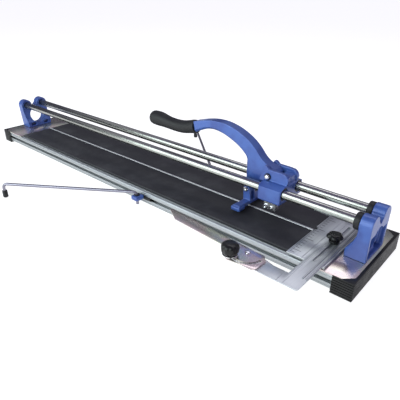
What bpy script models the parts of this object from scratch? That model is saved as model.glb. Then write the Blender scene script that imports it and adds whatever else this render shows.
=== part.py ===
"""Long manual tile cutter, modelled in metres with +Z up.

+X runs along the guide rails, +Y runs across the bed and the cutting line lies on y = 0.
The bench is z = 0. Every piece is placed where it sits while a tile is about to be scored.
"""
import math

import bmesh
import bpy
from mathutils import Matrix, Vector

# ---------------------------------------------------------------- driving dimensions
GAP = 0.0003                    # play left between touching pieces
THROUGH = 0.01                  # how far a cutter runs on past what it cuts

OVERALL_LENGTH = 1.332          # over both end caps
BED_WIDTH = 0.227               # aluminium bed, side to side
BED_BOTTOM = 0.006              # the end caps hold the bed this far off the bench
BED_TOP = 0.037
BED_TOP_WALL = 0.004
BED_SIDE_WALL = 0.0165
BED_WEB = 0.003
BED_WEB_OFFSET = 0.0345         # inner webs, either side of the middle
SLOT_MOUTH = 0.008              # T-slot in each side of the bed
SLOT_CHAMBER = 0.016
SLOT_LIP = 0.0035
SLOT_DEPTH = 0.0105
SLOT_HEIGHT = 0.021             # height of the slot's middle line

HALF_LENGTH = OVERALL_LENGTH / 2
HALF_WIDTH = BED_WIDTH / 2

CAP_LENGTH = 0.043
CAP_WALL = 0.0025
CAP_END = 0.0065
CAP_RIB_DEPTH = 0.0008
CAP_RIB_COUNT = 5
CAP_GROOVE = 0.0014
CORNER_CUT = 0.019              # 45 degree corner of the end plates
BED_END = HALF_LENGTH - CAP_END

PLATE_THICKNESS = 0.0027
PLATE_HALF_WIDTH = HALF_WIDTH + 0.001
LEFT_PLATE_REACH = 0.121        # from the outside of the cap to the plate's inner edge
RIGHT_PLATE_REACH = 0.100
LEFT_PLATE_INNER = LEFT_PLATE_REACH - HALF_LENGTH
RIGHT_PLATE_INNER = HALF_LENGTH - RIGHT_PLATE_REACH
DECK = BED_TOP + GAP + PLATE_THICKNESS + GAP    # what stands on an end plate starts here

PAD_TOP = BED_TOP + GAP + 0.0062
PAD_MARGIN = 0.0111             # bed's side to pad
PAD_OUTER = HALF_WIDTH - PAD_MARGIN
STRIP_HALF_WIDTH = 0.003
STRIP_TOP = PAD_TOP + 0.0008
PAD_INNER = STRIP_HALF_WIDTH + 0.0004
PAD_LEFT = LEFT_PLATE_INNER + 0.005
PAD_RIGHT = RIGHT_PLATE_INNER - 0.004

LEVER_HALF_WIDTH = 0.0125
SKIRT_INNER = LEVER_HALF_WIDTH + 0.002
CHEEK_WIDTH = 0.0095
CHEEK_OUTER = SKIRT_INNER + CHEEK_WIDTH

RAIL_RADIUS = 0.0103
RAIL_WALL = 0.0028
RAIL_BORE = RAIL_RADIUS - RAIL_WALL
BUSHING_WALL = 0.003
BUSHING_RADIUS = RAIL_RADIUS + GAP + BUSHING_WALL
HOUSING_INNER_WALL = 0.001      # metal between a bushing and the room for the lever
HOUSING_OUTER_WALL = 0.003
RAIL_OFFSET = SKIRT_INNER + HOUSING_INNER_WALL + GAP + BUSHING_RADIUS
SKIRT_OUTER = RAIL_OFFSET + BUSHING_RADIUS + HOUSING_OUTER_WALL
RAIL_HEIGHT = BED_TOP + 0.0805

BRACKET_OUTER = HALF_LENGTH - 0.011
BRACKET_NECK = BRACKET_OUTER - 0.025
BRACKET_TOE = BRACKET_OUTER - 0.044
RAIL_HALF_LENGTH = BRACKET_OUTER - 0.005
HEAD_RADIUS = RAIL_RADIUS + 0.0087
BRACKET_BASE_HALF = RAIL_OFFSET + 0.0146
BRACKET_HOLE_RADIUS = 0.0255
BRACKET_HOLE_HEIGHT = RAIL_HEIGHT - 0.0405
RECESS_DEPTH = 0.009
WINDOW_OFFSET = 0.024
WINDOW_HALF_WIDTH = 0.009
WINDOW_BOTTOM = DECK + 0.0052
WINDOW_TOP = WINDOW_BOTTOM + 0.0105
BUMPER_LENGTH = 0.0122
BUMPER_RADIUS = RAIL_RADIUS + 0.0072

CARRIAGE_LEFT = 0.403
CARRIAGE_LENGTH = 0.057
CARRIAGE_RIGHT = CARRIAGE_LEFT + CARRIAGE_LENGTH
BRIDGE_LENGTH = 0.024           # wall that joins the housings behind the lever
SKIRT_BOTTOM = RAIL_HEIGHT - BUSHING_RADIUS - GAP - 0.0086
SKIRT_TOP = RAIL_HEIGHT + BUSHING_RADIUS + GAP + 0.0036
SKIRT_SLOPE = 0.0075            # fall of each housing's top towards its outer side
PIVOT = (CARRIAGE_LEFT + 0.010, 0.0, SKIRT_TOP + 0.0085)
PIVOT_BOLT_RADIUS = 0.004
PIVOT_HEAD_RADIUS = 0.0062
PIVOT_WASHER_RADIUS = 0.0078
PIVOT_WASHER = 0.0025
PIVOT_NUT = 0.007
PIVOT_BOLT_END = 0.0017         # thread that shows past the nut

LEVER_CHAMFER = 0.005           # along the inside of the arch
TANG_RADIUS = 0.0075
GRIP_RADIUS = 0.0163

WHEEL_AXIS = (PIVOT[0] + 0.006, 0.0, PIVOT[2] - 0.0815)
WHEEL_RADIUS = 0.0105
WHEEL_HALF_WIDTH = 0.0015
AXLE_RADIUS = 0.0022
HOLDER_HALF_WIDTH = 0.008
HOLDER_LEFT = PIVOT[0] - 0.016
HOLDER_RIGHT = PIVOT[0] + 0.017
HOLDER_BOLT_RADIUS = 0.0025
LEVER_DROP = 0.0435             # pivot to the underside of the lever's lower end
LEVER_FOOT = PIVOT[2] - LEVER_DROP
BREAKER_AXIS = (PIVOT[0] - 0.063, 0.0, PIVOT[2] - 0.054)
BREAKER_BOLT_RADIUS = 0.003
BREAKER_BAR_HALF = 0.052
BREAKER_BOTTOM = BREAKER_AXIS[2] - 0.0398
BREAKER_SETBACK = 0.003         # bar to the right of its bolt
HANGER_HALF_WIDTH = 0.005
EAR_WIDTH = 0.0062

CLAMP_HALF_LENGTH = 0.012
CLAMP_BOTTOM = SLOT_HEIGHT - 0.003
CLAMP_TOP = SLOT_HEIGHT + 0.010
COLLAR_HEIGHT = 0.003
COLLAR_RADIUS = 0.0075
SLIDER_BACK = 0.016             # slide's reach either way from the rod
SLIDER_FRONT = 0.034
ROD_RADIUS = 0.004
ROD_BEND = 0.005
ROD_START = 0.006               # lower end, which shows under its clamp
ROD_HEIGHT = CLAMP_TOP + 0.0085
ROD_REACH = 0.367
TIP_RADIUS = ROD_RADIUS + 0.0028
NEAR_ARM_X = 0.0934
FAR_ARM_X = 0.1187
ARM_OFFSET = HALF_WIDTH + 0.0165
NEAR_ARM_ANGLE = math.radians(214.1)
FAR_ARM_ANGLE = math.radians(139.0)

FENCE_BOTTOM = DECK + 0.0062
FENCE_TOP = FENCE_BOTTOM + 0.0025
FENCE_RIGHT = HALF_LENGTH - 0.064
FENCE_LEFT = FENCE_RIGHT - 0.076
FENCE_FAR = 0.075
FENCE_FRONT = -(HALF_WIDTH + 0.0035)
FENCE_GUIDE_HALF = HALF_WIDTH - 0.0015
FENCE_NOTCH = 0.008             # pointer notch in the ruler's edge
TAIL_LEFT = FENCE_RIGHT - 0.037
LEG_LEFT = FENCE_RIGHT - 0.083
LEG_INNER = FENCE_FRONT - 0.056
LEG_OUTER = LEG_INNER - 0.0345
LEG_CORNER = 0.006
LIP_HALF_WIDTH = 0.0015
LIP_HEIGHT = 0.0018
LIP_OFFSETS = (0.0095, 0.0025)  # from the plate's right edge
FENCE_STUD = (FENCE_RIGHT - 0.020, -0.027)
FENCE_SLOT_LOW = FENCE_FRONT + 0.008
FENCE_SLOT_HIGH = 0.049
FENCE_WASHER = 0.0024
STUD_RADIUS = 0.003
SLOT_PLAY = 0.0004              # slot wider than its stud, each side

BLADE_PIVOT = (FENCE_RIGHT - 0.130, LEG_INNER + 0.002)
BLADE_TOP = FENCE_BOTTOM + 0.0022
BLADE_SLOT_RADIUS = 0.0352
BLADE_KNOB_ANGLE = math.radians(-131.3)
BLADE_LEAN = math.radians(3.5)
BLADE_WIDTH = 0.028
BLADE_INNER = 0.0145            # pivot to the edge that guides the tile
BLADE_REACH = 0.240
BLADE_WASHER = 0.0016
CARRIER_THICKNESS = 0.0022

COLLECTION = "tile_cutter"
CUTTERS = "tile_cutter_cutters"


# ---------------------------------------------------------------- scene set-up
def clear_scene():
    for item in list(bpy.data.objects):
        bpy.data.objects.remove(item, do_unlink=True)


def make_collection(name):
    group = bpy.data.collections.new(name)
    bpy.context.scene.collection.children.link(group)
    return group


def make_material(name, colour, roughness, metallic):
    material = bpy.data.materials.new(name)
    material.use_nodes = True
    shader = material.node_tree.nodes["Principled BSDF"]
    shader.inputs["Base Color"].default_value = (*colour, 1.0)
    shader.inputs["Roughness"].default_value = roughness
    shader.inputs["Metallic"].default_value = metallic
    return material


FINISHES = {
    "blue_paint": ((0.07, 0.14, 0.52), 0.35, 0.2),
    "aluminium": ((0.72, 0.73, 0.76), 0.38, 1.0),
    "chrome": ((0.80, 0.80, 0.82), 0.08, 1.0),
    "steel": ((0.62, 0.62, 0.64), 0.25, 1.0),
    "plate": ((0.66, 0.64, 0.70), 0.15, 1.0),
    "black_plastic": ((0.025, 0.025, 0.028), 0.5, 0.0),
    "rubber": ((0.035, 0.035, 0.038), 0.85, 0.0),
}


# ---------------------------------------------------------------- modelling helpers
def place(mesh, name, as_cutter=False):
    item = bpy.data.objects.new(name, mesh)
    groups[CUTTERS if as_cutter else COLLECTION].objects.link(item)
    if as_cutter:
        item.hide_render = True
        item.display_type = "WIRE"
    return item


def box(name, low, high, as_cutter=False):
    """Box between two corners."""
    bm = bmesh.new()
    bmesh.ops.create_cube(bm, size=1.0)
    low, high = Vector(low), Vector(high)
    size = high - low
    bmesh.ops.scale(bm, vec=size, verts=bm.verts)
    bmesh.ops.translate(bm, vec=(low + high) / 2, verts=bm.verts)
    mesh = bpy.data.meshes.new(name)
    bm.to_mesh(mesh)
    bm.free()
    return place(mesh, name, as_cutter)


TURN = {
    "X": Matrix.Rotation(math.pi / 2, 4, "Y"),
    "Y": Matrix.Rotation(-math.pi / 2, 4, "X"),
    "Z": Matrix.Identity(4),
}


def cylinder(name, centre, radius, length, axis, segments=24, as_cutter=False):
    """Round bar centred on a point, along X, Y or Z."""
    bm = bmesh.new()
    bmesh.ops.create_cone(bm, cap_ends=True, segments=segments, radius1=radius, radius2=radius,
                          depth=length)
    bmesh.ops.transform(bm, matrix=Matrix.Translation(centre) @ TURN[axis], verts=bm.verts)
    mesh = bpy.data.meshes.new(name)
    bm.to_mesh(mesh)
    bm.free()
    return place(mesh, name, as_cutter)


def solid_mesh(source, name, as_cutter):
    """Mesh object that takes the place of a curve or of a profile with its modifier."""
    bpy.context.view_layer.update()
    depsgraph = bpy.context.evaluated_depsgraph_get()
    mesh = bpy.data.meshes.new_from_object(source.evaluated_get(depsgraph))
    mesh.transform(source.matrix_world)
    bm = bmesh.new()
    bm.from_mesh(mesh)
    bmesh.ops.remove_doubles(bm, verts=bm.verts, dist=0.00001)
    bmesh.ops.recalc_face_normals(bm, faces=bm.faces)
    bm.to_mesh(mesh)
    bm.free()
    bpy.data.objects.remove(source, do_unlink=True)
    return place(mesh, name, as_cutter)


# Frames that stand a flat outline up: (u, v) on the page become the two named world axes.
PAGES = {
    "X": Matrix(((0, 0, 1, 0), (1, 0, 0, 0), (0, 1, 0, 0), (0, 0, 0, 1))),
    "Y": Matrix(((1, 0, 0, 0), (0, 0, -1, 0), (0, 1, 0, 0), (0, 0, 0, 1))),
    "Z": Matrix.Identity(4),
}


def sketch(name, outline, axis, low, high, as_cutter=False, resolution=5):
    """Flat outline drawn square to an axis and thickened from low to high along it.

    A point is (u, v) for a corner or (u, v, True) for a knot the outline runs smoothly through.
    u, v are y, z for X, x, z for Y and x, y for Z.
    """
    curve = bpy.data.curves.new(name, "CURVE")
    curve.dimensions = "2D"
    curve.fill_mode = "BOTH"
    curve.resolution_u = resolution
    curve.extrude = (high - low) / 2
    spline = curve.splines.new("BEZIER")
    spline.bezier_points.add(len(outline) - 1)
    for knot, point in zip(spline.bezier_points, outline):
        knot.co = (point[0], point[1], 0.0)
        kind = "AUTO" if len(point) == 3 else "VECTOR"
        knot.handle_left_type = kind
        knot.handle_right_type = kind
    spline.use_cyclic_u = True
    item = bpy.data.objects.new(name + "_outline", curve)
    groups[CUTTERS].objects.link(item)
    shift = Vector({"X": (1, 0, 0), "Y": (0, 1, 0), "Z": (0, 0, 1)}[axis]) * (low + high) / 2
    item.matrix_world = Matrix.Translation(shift) @ PAGES[axis]
    return solid_mesh(item, name, as_cutter)


def straight_sketch(name, outline, axis, low, high, as_cutter=False):
    """Outline of straight stretches only, with no points added between the corners."""
    return sketch(name, outline, axis, low, high, as_cutter, resolution=1)


def tube(name, path, radii, as_cutter=False, resolution=3):
    """Round bar along a path, with its own radius at each point."""
    curve = bpy.data.curves.new(name, "CURVE")
    curve.dimensions = "3D"
    curve.bevel_depth = 1.0
    curve.bevel_resolution = resolution
    curve.use_fill_caps = True
    spline = curve.splines.new("POLY")
    spline.points.add(len(path) - 1)
    for knot, point, radius in zip(spline.points, path, radii):
        knot.co = (*point, 1.0)
        knot.radius = radius
    item = bpy.data.objects.new(name + "_path", curve)
    groups[CUTTERS].objects.link(item)
    return solid_mesh(item, name, as_cutter)


def turned(name, profile, centre, axis, steps=24, flip=False):
    """Turned piece: (radius, height) points run down its outer side from the top.

    The profile starts and ends on the axis, or closes on itself round a bore. A flipped piece
    has its top at the low end of the axis.
    """
    mesh = bpy.data.meshes.new(name)
    bm = bmesh.new()
    knots = [bm.verts.new((radius, 0.0, height)) for radius, height in profile]
    for upper, lower in zip(knots, knots[1:]):
        bm.edges.new((upper, lower))
    if profile[0][0] > 0:
        bm.edges.new((knots[-1], knots[0]))
    bm.to_mesh(mesh)
    bm.free()
    blank = bpy.data.objects.new(name + "_profile", mesh)
    groups[CUTTERS].objects.link(blank)
    screw = blank.modifiers.new("turn", "SCREW")
    screw.steps = steps
    screw.render_steps = steps
    screw.use_merge_vertices = True
    screw.merge_threshold = 0.00001
    screw.use_normal_calculate = True
    over = Matrix.Rotation(math.pi, 4, "X") if flip else Matrix.Identity(4)
    blank.matrix_world = Matrix.Translation(centre) @ TURN[axis] @ over
    return solid_mesh(blank, name, False)


def boolean(piece, tool, operation):
    modifier = piece.modifiers.new(operation.lower() + "_" + tool.name, "BOOLEAN")
    modifier.operation = operation
    modifier.object = tool
    modifier.solver = "EXACT"


def cut(piece, *tools):
    for tool in tools:
        boolean(piece, tool, "DIFFERENCE")
    return piece


def join(piece, *tools):
    for tool in tools:
        boolean(piece, tool, "UNION")
    return piece


def bevel(piece, width, segments=2, angle=40):
    modifier = piece.modifiers.new("edge", "BEVEL")
    modifier.width = width
    modifier.segments = segments
    modifier.limit_method = "ANGLE"
    modifier.angle_limit = math.radians(angle)
    return piece


def chamfer_edges(piece, width, half_width, low, high):
    """Chamfer of the outline's edges on both sides, inside a window of x and z."""
    bm = bmesh.new()
    bm.from_mesh(piece.data)
    flat = [edge for edge in bm.edges
            if all(abs(face.normal.y) > 0.999 for face in edge.link_faces)]
    bmesh.ops.dissolve_edges(bm, edges=flat, use_verts=False)
    chosen = []
    for edge in bm.edges:
        middle = (edge.verts[0].co + edge.verts[1].co) / 2
        on_side = all(abs(abs(vert.co.y) - half_width) < GAP for vert in edge.verts)
        if on_side and low[0] < middle.x < high[0] and low[1] < middle.z < high[1]:
            chosen.append(edge)
    bmesh.ops.bevel(bm, geom=chosen, offset=width, segments=1, profile=0.5, affect="EDGES",
                    material=-1)
    bmesh.ops.recalc_face_normals(bm, faces=bm.faces)
    bm.to_mesh(piece.data)
    bm.free()


def finish(piece, finish_name, origin=None, smooth=True):
    """Give a piece its material, and its origin where it turns or slides."""
    colour, roughness, metallic = FINISHES[finish_name]
    material = make_material(piece.name + "_" + finish_name, colour, roughness, metallic)
    piece.data.materials.clear()
    piece.data.materials.append(material)
    if smooth:
        piece.data.shade_smooth()
        piece.data.set_sharp_from_angle(angle=math.radians(35))
    if origin is not None:
        piece.data.transform(Matrix.Translation(-Vector(origin)) @ piece.matrix_world)
        piece.matrix_world = Matrix.Translation(origin)
    return piece


def arc(centre, radius, start, stop, steps):
    """Points along an arc, angles in degrees."""
    points = []
    for index in range(steps + 1):
        angle = math.radians(start + (stop - start) * index / steps)
        points.append((centre[0] + radius * math.cos(angle), centre[1] + radius * math.sin(angle)))
    return points


def from_pivot(points):
    """Points given from the handle's pivot as (x, z, ...), moved to where the pivot is."""
    return [(point[0] + PIVOT[0], point[1] + PIVOT[2], *point[2:]) for point in points]


# ---------------------------------------------------------------- bed
def build_bed():
    bed = box("bed_extrusion", (-BED_END, -HALF_WIDTH, BED_BOTTOM), (BED_END, HALF_WIDTH, BED_TOP))
    past = BED_END + THROUGH
    inner = HALF_WIDTH - BED_SIDE_WALL
    cells = [(-inner, -BED_WEB_OFFSET - BED_WEB), (-BED_WEB_OFFSET, BED_WEB_OFFSET),
             (BED_WEB_OFFSET + BED_WEB, inner)]
    for index, (low, high) in enumerate(cells):
        cut(bed, box(f"bed_cell_{index}", (-past, low, BED_BOTTOM - THROUGH),
                     (past, high, BED_TOP - BED_TOP_WALL), True))
    for side in (-1, 1):
        mouth = sorted((side * (HALF_WIDTH + THROUGH), side * (HALF_WIDTH - SLOT_LIP - 0.001)))
        chamber = sorted((side * (HALF_WIDTH - SLOT_LIP), side * (HALF_WIDTH - SLOT_DEPTH)))
        label = "near" if side < 0 else "far"
        cut(bed, box(f"slot_mouth_{label}", (-past, mouth[0], SLOT_HEIGHT - SLOT_MOUTH / 2),
                     (past, mouth[1], SLOT_HEIGHT + SLOT_MOUTH / 2), True))
        cut(bed, box(f"slot_chamber_{label}",
                     (-past, chamber[0], SLOT_HEIGHT - SLOT_CHAMBER / 2),
                     (past, chamber[1], SLOT_HEIGHT + SLOT_CHAMBER / 2), True))
    finish(bed, "aluminium", smooth=False)


def corner_cut_outline(side, inner, outer, half_width, corner):
    """Plan of an end plate: square towards the middle, corners cut at the outer end."""
    return [(side * inner, -half_width), (side * (outer - corner), -half_width),
            (side * outer, -half_width + corner), (side * outer, half_width - corner),
            (side * (outer - corner), half_width), (side * inner, half_width)]


def build_end_cap(label, side):
    outer = HALF_LENGTH
    inner = outer - CAP_LENGTH
    half_width = HALF_WIDTH + GAP + CAP_WALL
    top = BED_TOP + GAP + PLATE_THICKNESS
    inset = outer - CAP_RIB_DEPTH
    spans = sorted((side * inner, side * inset))
    cap = box(f"end_cap_{label}", (spans[0], CAP_RIB_DEPTH - half_width, CAP_RIB_DEPTH),
              (spans[1], half_width - CAP_RIB_DEPTH, top - CAP_RIB_DEPTH))
    pitch = top / CAP_RIB_COUNT
    spans = sorted((side * (inner + CAP_RIB_DEPTH), side * outer))
    for index in range(CAP_RIB_COUNT):
        low = pitch * index
        high = low + pitch - (CAP_GROOVE if index < CAP_RIB_COUNT - 1 else 0)
        rib = box(f"cap_rib_{label}_{index}", (spans[0], -half_width, low),
                  (spans[1], half_width, high), True)
        join(cap, bevel(rib, CAP_RIB_DEPTH / 2, 1))
    pocket_end = BED_END + GAP
    pocket = sorted((side * (inner - THROUGH), side * pocket_end))
    cut(cap, box(f"cap_pocket_{label}", (pocket[0], -HALF_WIDTH - GAP, BED_BOTTOM - GAP),
                 (pocket[1], HALF_WIDTH + GAP, BED_TOP + GAP), True))
    room = corner_cut_outline(side, inner - THROUGH, pocket_end, PLATE_HALF_WIDTH + GAP,
                              CORNER_CUT)
    cut(cap, straight_sketch(f"cap_plate_room_{label}", room, "Z", BED_TOP + GAP / 2,
                             top + THROUGH, True))
    finish(cap, "black_plastic", smooth=False)


def build_end_plate(label, side, inner):
    outline = corner_cut_outline(side, inner * side, BED_END, PLATE_HALF_WIDTH, CORNER_CUT)
    low = BED_TOP + GAP
    plate = straight_sketch(f"end_plate_{label}", outline, "Z", low, low + PLATE_THICKNESS)
    finish(plate, "plate", smooth=False)


def build_pads():
    low = BED_TOP + GAP
    for label, spans in (("near", (-PAD_OUTER, -PAD_INNER)), ("far", (PAD_INNER, PAD_OUTER))):
        pad = box(f"pad_{label}", (PAD_LEFT, spans[0], low), (PAD_RIGHT, spans[1], PAD_TOP))
        bevel(pad, 0.0008, 1)
        finish(pad, "rubber", smooth=False)
    strip = box("break_strip", (PAD_LEFT, -STRIP_HALF_WIDTH, low),
                (PAD_RIGHT, STRIP_HALF_WIDTH, STRIP_TOP))
    bevel(strip, 0.001, 1)
    finish(strip, "aluminium", smooth=False)


# ---------------------------------------------------------------- rails and brackets
def bracket_outline():
    """Front view of a rail bracket: two round heads on a slightly tapered frame."""
    left_head = (-RAIL_OFFSET, RAIL_HEIGHT)
    right_head = (RAIL_OFFSET, RAIL_HEIGHT)
    points = [(-BRACKET_BASE_HALF, DECK), (BRACKET_BASE_HALF, DECK)]
    points += arc(right_head, HEAD_RADIUS, -8, 172, 10)
    points += [(0.0, RAIL_HEIGHT - 0.008)]
    points += arc(left_head, HEAD_RADIUS, 8, 188, 10)
    return points


def build_bracket(label, side):
    low, high = sorted((side * BRACKET_TOE, side * BRACKET_OUTER))
    bracket = straight_sketch(f"bracket_{label}", bracket_outline(), "X", low, high)
    flare_top = RAIL_HEIGHT - BUMPER_RADIUS - 0.001
    above = RAIL_HEIGHT + HEAD_RADIUS + THROUGH
    toe_cut = [(side * (BRACKET_TOE - THROUGH), above), (side * BRACKET_NECK, above),
               (side * BRACKET_NECK, flare_top),
               (side * (BRACKET_NECK - 0.004), DECK + 0.0447, True),
               (side * (BRACKET_NECK - 0.011), DECK + 0.0297, True),
               (side * BRACKET_TOE, DECK + 0.0177),
               (side * (BRACKET_TOE - THROUGH), DECK + 0.0177)]
    cut(bracket, sketch(f"toe_cut_{label}", toe_cut, "Y", -0.1, 0.1, True, 3))
    hole = cylinder(f"bracket_hole_{label}", (side * BRACKET_OUTER, 0, BRACKET_HOLE_HEIGHT),
                    BRACKET_HOLE_RADIUS, 0.2, "X", 24, True)
    cut(bracket, hole)
    foot, shoulder = BRACKET_BASE_HALF - 0.008, BRACKET_BASE_HALF - 0.004
    low, high = DECK + 0.0064, RAIL_HEIGHT - 0.0235
    recess = [(-foot, low), (foot, low), (shoulder, high), (-shoulder, high)]
    spans = sorted((side * (BRACKET_OUTER - RECESS_DEPTH), side * (BRACKET_OUTER + THROUGH)))
    cut(bracket, straight_sketch(f"bracket_recess_{label}", recess, "X", spans[0], spans[1], True))
    for row, across in (("near", -1), ("far", 1)):
        window = box(f"window_{label}_{row}",
                     (side * BRACKET_OUTER - 0.1, across * WINDOW_OFFSET - WINDOW_HALF_WIDTH,
                      WINDOW_BOTTOM),
                     (side * BRACKET_OUTER + 0.1, across * WINDOW_OFFSET + WINDOW_HALF_WIDTH,
                      WINDOW_TOP), True)
        spans = sorted((side * (RAIL_HALF_LENGTH + GAP), side * (BRACKET_TOE - THROUGH)))
        bore = cylinder(f"rail_bore_{label}_{row}",
                        ((spans[0] + spans[1]) / 2, across * RAIL_OFFSET, RAIL_HEIGHT),
                        RAIL_RADIUS + GAP, spans[1] - spans[0], "X", 32, True)
        cut(bracket, window, bore)
    finish(bracket, "blue_paint")


def build_rails():
    for label, offset in (("near", -RAIL_OFFSET), ("far", RAIL_OFFSET)):
        rail = cylinder(f"rail_{label}", (0, offset, RAIL_HEIGHT), RAIL_RADIUS,
                        2 * RAIL_HALF_LENGTH, "X", 32)
        cut(rail, cylinder(f"rail_core_{label}", (0, offset, RAIL_HEIGHT), RAIL_BORE,
                           2 * (RAIL_HALF_LENGTH + THROUGH), "X", 16, True))
        finish(rail, "chrome")
        centre = (BRACKET_NECK - GAP - BUMPER_LENGTH / 2, offset, RAIL_HEIGHT)
        bumper = cylinder(f"bumper_{label}", centre, BUMPER_RADIUS, BUMPER_LENGTH, "X", 28)
        cut(bumper, cylinder(f"bumper_core_{label}", centre, RAIL_RADIUS + GAP, 0.1, "X", 32,
                             True))
        finish(bumper, "rubber")


# ---------------------------------------------------------------- carriage
def build_carriage():
    carriage = box("carriage_body", (CARRIAGE_LEFT, -SKIRT_OUTER, SKIRT_BOTTOM),
                   (CARRIAGE_RIGHT, SKIRT_OUTER, SKIRT_TOP))
    bevel(carriage, 0.003, 2)
    cheek = [(-0.024, -0.0205), (-0.016, 0.0085), (-0.011, 0.023), (-0.005, 0.022), (0.001, 0.0165),
             (0.031, 0.016), *arc((0.0345, 0.0005), 0.0155, 70, -35, 5), (0.042, -0.0135),
             (-0.01, -0.0255)]
    for label, side in (("near", -1), ("far", 1)):
        low, high = sorted((side * SKIRT_INNER, side * CHEEK_OUTER))
        join(carriage, straight_sketch(f"cheek_{label}", from_pivot(cheek), "Y", low, high, True))
    room = box("lever_room", (CARRIAGE_LEFT - 0.05, -SKIRT_INNER, SKIRT_BOTTOM - THROUGH),
               (CARRIAGE_RIGHT - BRIDGE_LENGTH, SKIRT_INNER, PIVOT[2] + 0.05), True)
    bridge = box("bridge", (CARRIAGE_RIGHT - BRIDGE_LENGTH - 0.001, -SKIRT_INNER - 0.002,
                            SKIRT_TOP - 0.02),
                 (CARRIAGE_RIGHT - 0.001, SKIRT_INNER + 0.002, SKIRT_TOP + 0.016), True)
    join(carriage, bridge)
    cut(carriage, room)
    for label, side in (("near", -1), ("far", 1)):
        fall = SKIRT_SLOPE / (SKIRT_OUTER - RAIL_OFFSET)
        above = SKIRT_TOP + THROUGH
        slope = [(side * RAIL_OFFSET, SKIRT_TOP), (side * RAIL_OFFSET, above),
                 (side * (SKIRT_OUTER + THROUGH), above),
                 (side * (SKIRT_OUTER + THROUGH), SKIRT_TOP - SKIRT_SLOPE - fall * THROUGH)]
        cut(carriage, straight_sketch(f"housing_slope_{label}", slope, "X",
                                      CARRIAGE_LEFT - THROUGH, CARRIAGE_RIGHT + THROUGH, True))
    middle = (CARRIAGE_LEFT + CARRIAGE_RIGHT) / 2
    for label, offset in (("near", -RAIL_OFFSET), ("far", RAIL_OFFSET)):
        axis_point = (middle, offset, RAIL_HEIGHT)
        cut(carriage, cylinder(f"bushing_bore_{label}", axis_point, BUSHING_RADIUS + GAP, 0.2,
                               "X", 32, True))
        bushing = cylinder(f"bushing_{label}", axis_point, BUSHING_RADIUS,
                           CARRIAGE_LENGTH - 0.002, "X", 32)
        cut(bushing, cylinder(f"bushing_core_{label}", axis_point, RAIL_RADIUS + GAP, 0.2, "X",
                              32, True))
        finish(bushing, "black_plastic", origin=axis_point)
    cut(carriage, cylinder("pivot_bore", PIVOT, PIVOT_BOLT_RADIUS + GAP, 0.2, "Y", 20, True))
    finish(carriage, "blue_paint", origin=(middle, 0, RAIL_HEIGHT))


def build_pivot_fixings():
    head = CHEEK_OUTER + GAP
    washer = cylinder("pivot_washer", (PIVOT[0], -(head + PIVOT_WASHER / 2), PIVOT[2]),
                      PIVOT_WASHER_RADIUS, PIVOT_WASHER, "Y", 24)
    bore = cylinder("washer_bore", PIVOT, PIVOT_BOLT_RADIUS + GAP, 0.2, "Y", 20, True)
    finish(cut(washer, bore), "black_plastic", origin=PIVOT)
    under_head = head + PIVOT_WASHER + GAP
    end = -(head + PIVOT_NUT + PIVOT_BOLT_END)
    dome = arc((0.0, 0.0), PIVOT_HEAD_RADIUS, 90, 0, 5)
    profile = [(radius, under_head + height * 0.75) for radius, height in dome]
    profile += [(PIVOT_HEAD_RADIUS, under_head), (PIVOT_BOLT_RADIUS, under_head),
                (PIVOT_BOLT_RADIUS, end), (0.0, end)]
    finish(turned("pivot_bolt", profile, PIVOT, "Y", 20, True), "steel", origin=PIVOT)
    nut = cylinder("pivot_nut", (PIVOT[0], head + PIVOT_NUT / 2, PIVOT[2]), PIVOT_WASHER_RADIUS,
                   PIVOT_NUT, "Y", 6)
    finish(cut(nut, cylinder("nut_bore", PIVOT, PIVOT_BOLT_RADIUS + GAP, 0.2, "Y", 20, True)),
           "steel", origin=PIVOT, smooth=False)


# ---------------------------------------------------------------- lever
GRIP_PATH = [(-0.3868, 0.0527, 0.60), (-0.3855, 0.0527, 0.86), (-0.3820, 0.0527, 1.05),
             (-0.375, 0.0527, 1.14), (-0.358, 0.0523, 1.16), (-0.341, 0.0507, 1.06),
             (-0.323, 0.0488, 0.98), (-0.298, 0.0475, 0.97), (-0.273, 0.0487, 0.99),
             (-0.253, 0.0527, 1.0), (-0.238, 0.0565, 1.03), (-0.2288, 0.0583, 1.0)]


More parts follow.
